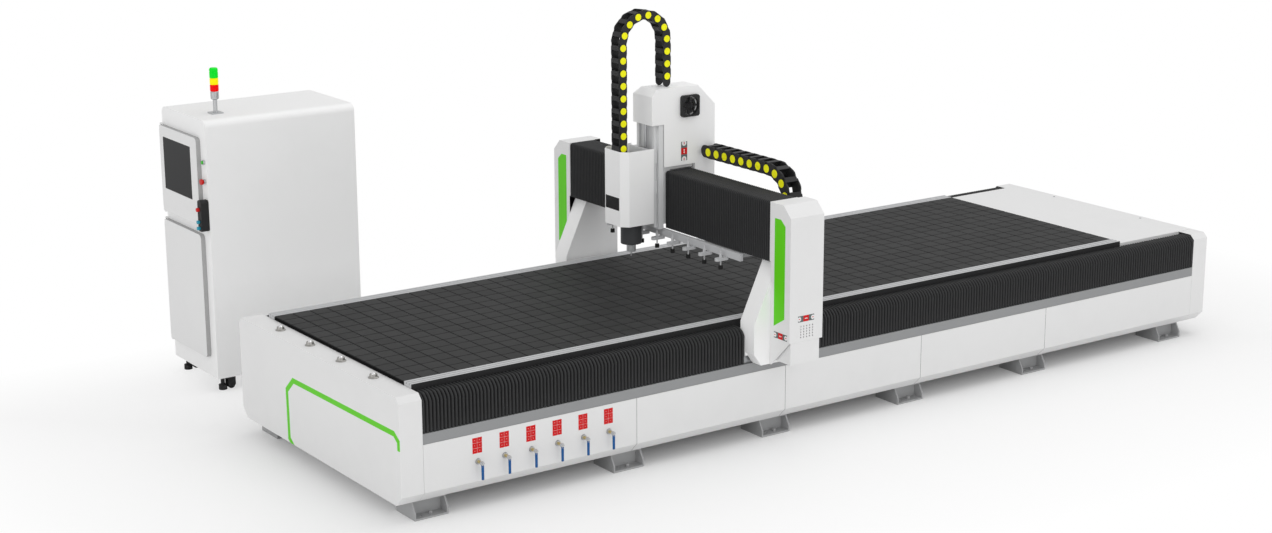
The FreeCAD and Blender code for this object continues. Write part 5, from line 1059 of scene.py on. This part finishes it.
def build_y_chain():
    """From the column towards the valve side, then back in the beam's trough."""
    low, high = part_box("y_cable_chain")
    half, wide = Y_LINK_RADIUS, high.x - low.x
    radius = (high.z - low.z) / 2 - half
    x, middle_z = (low.x + high.x) / 2, high.z - half - radius
    start, bend = SADDLE - half - CHAIN_GAP, low.y + radius + half
    upper = start - bend
    length = upper + math.pi * radius + MIDDLE - bend

    def place_at(before, angle, after):
        """A place after a run from the saddle, a turn and a run back."""
        y = start - before - radius * math.sin(angle) + after
        return Vector((x, y, middle_z + radius * math.cos(angle)))

    def weight(co):
        """Half way at the bend, 1 at the saddle, 0 where it is fixed to the beam."""
        upper_share = 0.5 + 0.5 * (co[:, 1] - bend) / (start - bend)
        lower_share = 0.5 - 0.5 * (co[:, 1] - bend) / (MIDDLE - bend)
        share = np.where(co[:, 2] > middle_z, upper_share, lower_share)
        return np.where(co[:, 1] < bend, 0.5, share)

    pins, pitch = pins_along(length, Y_LINK_PITCH, upper, radius, place_at)
    build_chain(
        "y_chain", "y_cable_chain", pins, Vector((1, 0, 0)), link_piece(pitch, wide, half),
        chain_caps(pitch, wide, Y_CAP_SHARE * half), ("gantry", "saddle"), weight)


def build_z_chain():
    """The arch from the column's top to the head."""
    low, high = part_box("z_cable_chain")
    half, wide = Z_LINK_RADIUS, high.y - low.y
    radius = (high.x - low.x) / 2 - half
    y, middle_x = (low.y + high.y) / 2, high.x - half - radius
    foot, bend, end = COLUMN[1].z + half + CHAIN_GAP, high.z - half - radius, low.z + half
    upper = bend - foot
    length = upper + math.pi * radius + bend - end

    def place_at(before, angle, after):
        """A place after a run up from the column, a turn and a run down."""
        z = foot + before + radius * math.sin(angle) - after
        return Vector((middle_x + radius * math.cos(angle), y, z))

    def weight(co):
        """0 at the column, half way over the arch, 1 at the head."""
        rear_share = 0.5 * (co[:, 2] - foot) / (bend - foot)
        front_share = 1 - 0.5 * (co[:, 2] - end) / (bend - end)
        share = np.where(co[:, 0] > middle_x, rear_share, front_share)
        return np.where(co[:, 2] > bend, 0.5, share)

    pins, pitch = pins_along(length, Z_LINK_PITCH, upper, radius, place_at)
    build_chain(
        "z_chain", "z_cable_chain", pins, Vector((0, -1, 0)), link_piece(pitch, wide, half),
        chain_caps(pitch, wide, Z_CAP_SHARE * half), ("saddle", "head"), weight)


# Saddle and head

WINDOW_INSET, WINDOW_WIDE, WINDOW_TALL = 0.0565, 0.16, 0.087
WINDOW_HEIGHT = 1.3925
WINDOW_SUNK, WINDOW_THICK = 0.0006, 0.0015


def build_saddle():
    """Column with its fan, face plate and rails."""
    finished("saddle_frame", "cast_iron")
    # The column cover takes the whiter copy of the white paint, as painted light.
    finished("column_cover", "painted_light_white", width=0.003, segments=3)
    finished("fan_housing", "black_plastic", width=0.001)
    finished("fan_rotor", "black_plastic", width=0)
    finished("saddle_motors", "black_plastic", width=0.002)
    finished("z_screw", "upright_steel", width=0)
    place = (GANTRY + Z_MARK_PLACE[0], Z_MARK_PLACE[1])
    label = axis_label("saddle_z_mark", "y", SADDLE - MARK_LIFT, place, Z_MARK_SIZE, upright=True)
    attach(label, "saddle")


def build_head():
    """Head cover with its dark window, slide plate and spindle."""
    finished("head_plate", "cast_iron")
    # The head cover takes the whiter copy of the white paint, as painted light.
    finished("head_cover", "painted_light_white", width=0.003, segments=3)
    finished("spindle_housing", "dark_grey_paint", width=0.004, segments=3)
    finished("spindle_shaft", "upright_steel")
    outline = rectangle(
        HEAD[0].y + WINDOW_INSET + WINDOW_WIDE / 2, WINDOW_HEIGHT + WINDOW_TALL / 2, WINDOW_WIDE / 2,
        WINDOW_TALL / 2)
    pane = plate("head_window", outline, "x", HEAD[0].x + WINDOW_SUNK, WINDOW_THICK, "dark_screen")
    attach(pane, "head")


# Cabinet

DOOR_FRONT_DEEP = 0.002
BEZELS_ABOVE = 1.45
FLANGE_HALF, FLANGE_THICK = 0.042, 0.008
POLE_PROFILE = [
    (0.018, 0.007), (0.018, 0.012), (0.015, 0.014), (0.015, 0.094), (0.026, 0.1), (0.029, 0.106),
    (0.029, 0.152), (0.026, 0.156),
]
LENS_START, LENS_STEP = 0.156, 0.046
LENS_PROFILE = [(0.027, 0), (0.03, 0.003), (0.03, 0.042), (0.027, 0.0455)]
CAP_PROFILE = [(0.027, 0.294), (0.03, 0.297), (0.03, 0.31), (0.024, 0.3185), (0.001, 0.32)]


def build_cabinet():
    """Cabinet shell, doors, screen, casters, buttons and the hand pendant."""
    # The shell takes the whiter copy of the white paint, as painted light.
    finished("cabinet_shell", "painted_light_white")
    for node in ("screen_door", "lower_door"):
        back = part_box(node)[0].x + DOOR_FRONT_DEEP
        made = finished(node, "white_paint", width=0.003, segments=3)
        repaint(made, "shaded_paint", lambda centre, normal: centre.x > back)
    finished("display_screen", "dark_screen", width=0.001)
    finished("drive_plate", "steel", width=0.001)
    finished("caster_frames", "black_plastic", width=0.001)
    for node in ("front_caster_wheels", "rear_caster_wheels"):
        finished(node, "rubber", width=0.003)
    for node, paint in (
        ("start_button", "green_plastic"), ("emergency_stop", "red_plastic"), ("pendant_box", "black_plastic"),
        ("pendant_stop", "red_plastic"), ("pendant_knob_upper", "blue_plastic"),
        ("pendant_knob_lower", "blue_plastic"),
    ):
        made = finished(node, paint, segments=3)
        if node == "pendant_box":
            repaint(made, "aluminium", lambda centre, normal: centre.z > BEZELS_ABOVE)


def build_tower_light():
    """Signal tower: steel flange and pole, three ribbed lenses and a cap."""
    low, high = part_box("tower_light")
    x, y, base = (low.x + high.x) / 2, (low.y + high.y) / 2, low.z
    pieces = [
        block(
            "flange", (x - FLANGE_HALF, y - FLANGE_HALF, base),
            (x + FLANGE_HALF, y + FLANGE_HALF, base + FLANGE_THICK), "upright_steel"),
        lathe("pole", POLE_PROFILE, "z", (x, y, base), "upright_steel"),
    ]
    for i, paint in enumerate(("lens_red", "lens_yellow", "lens_green")):
        foot = LENS_START + i * LENS_STEP
        profile = [(radius, foot + height) for radius, height in LENS_PROFILE]
        pieces.append(lathe(paint + "_ring", profile, "z", (x, y, base), paint))
    pieces.append(lathe("cap", CAP_PROFILE, "z", (x, y, base), "lens_green"))
    tower = joined("tower_light_look", *pieces)
    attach(tower, "bed")
    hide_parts("tower_light")


# Studio

FLOOR_SIZE = 240
FLOOR_FADE = (-0.5, 2.2)
WHITE_LIGHT = (1, 1, 1, 1)
WORLD_FILL = 0.66
LIGHT_AIM = (0, -0.6, 0.6)
LIGHTS = [
    ("top_light", (2.0, -1.0, 8.0), 9.0, 200),
    ("near_light", (-3.0, -24.0, 9.0), 16.0, 900),
    ("left_light", (-26.0, -5.0, 8.0), 16.0, 950),
]

# The photograph's camera, with its turn, tilt and roll in degrees
PHOTO_WIDE = 1272
FOCAL_PIXELS = 2211
FILM_WIDE = 36
CAMERA_PLACE = (LEFT - 5.867, NEAR - 10.822, 4.778)
CAMERA_ANGLES = (-34.92, 14.62, -0.21)
CAMERA_REACH = 400


def floor_material():
    """Matt white floor that takes soft shadows and melts into the white background."""
    paint = Paint("floor_white")
    speckle = paint.noise(0.4, 2)
    paint.finish(
        Base_Color=paint.blend(speckle * 0.02, (0.96, 0.96, 0.96), (0.9, 0.9, 0.9)), Roughness=0.9,
        Specular_IOR_Level=0.1)
    past_end = paint.axis("X").maths("ABSOLUTE") - RIGHT
    past_side = (paint.axis("Y") - MIDDLE).maths("ABSOLUTE") - (FAR - NEAR) / 2
    seen = paint.node("ShaderNodeLightPath", output="Is Camera Ray")
    glow = paint.node("ShaderNodeEmission", None, {"Color": WHITE_LIGHT, "Strength": 1.0})
    fade = past_end.maths("MAXIMUM", past_side).ramp(*FLOOR_FADE) * seen
    lit = Value(paint, paint.shader.outputs["BSDF"])
    mixed = paint.node("ShaderNodeMixShader", None, {0: fade, 1: lit, 2: glow})
    paint.feed(paint.tree.nodes["Material Output"].inputs["Surface"], mixed)
    return paint.material


def build_floor():
    """A wide white floor under the machine."""
    bpy.ops.mesh.primitive_plane_add(size=FLOOR_SIZE)
    floor = bpy.context.object
    floor.name = "studio_floor"
    floor.data.materials.append(floor_material())


def build_world():
    """White where the camera sees it, a weaker even light elsewhere."""
    world = bpy.data.worlds.new("studio")
    scene.world = world
    sky = Shading(world)
    seen = sky.node("ShaderNodeLightPath", output="Is Camera Ray")
    fill = sky.node("ShaderNodeBackground", None, {"Color": WHITE_LIGHT, "Strength": WORLD_FILL})
    white = sky.node("ShaderNodeBackground", None, {"Color": WHITE_LIGHT, "Strength": 1.0})
    mixed = sky.node("ShaderNodeMixShader", None, {0: seen, 1: fill, 2: white})
    sky.feed(sky.tree.nodes["World Output"].inputs["Surface"], mixed)


def build_lights():
    """One large soft light above and two at the sides."""
    for name, place, size, power in LIGHTS:
        lamp = bpy.data.lights.new(name, "AREA")
        lamp.shape = "SQUARE"
        lamp.size = size
        lamp.energy = power
        holder = new_object(name, lamp)
        holder.location = place
        aim = Vector(LIGHT_AIM) - Vector(place)
        holder.rotation_euler = aim.to_track_quat("-Z", "Y").to_euler()


def build_camera():
    """The camera at the photograph's viewing angle."""
    turn, tilt, roll = (math.radians(v) for v in CAMERA_ANGLES)
    ahead = Vector((-math.sin(turn) * math.cos(tilt), math.cos(turn) * math.cos(tilt), -math.sin(tilt)))
    side = Vector((math.cos(turn), math.sin(turn), 0))
    up = side.cross(ahead)
    right = side * math.cos(roll) + up * math.sin(roll)
    upright = up * math.cos(roll) - side * math.sin(roll)
    rotation = Matrix((right, upright, -ahead)).transposed().to_4x4()
    camera_data = bpy.data.cameras.new("camera")
    camera_data.lens = FILM_WIDE * FOCAL_PIXELS / PHOTO_WIDE
    camera_data.clip_end = CAMERA_REACH
    camera = new_object("camera", camera_data)
    camera.matrix_world = Matrix.Translation(CAMERA_PLACE) @ rotation
    scene.camera = camera


build_bed()
build_table()
build_ball_units()
build_screws()
build_x_bellows()
build_beam_bellows()
build_valves()
build_gantry()
build_leg_marks()
build_y_chain()
build_z_chain()
build_saddle()
build_head()
build_cabinet()
build_tower_light()
build_floor()
build_world()
build_lights()
build_camera()
scene.view_settings.view_transform = "Standard"
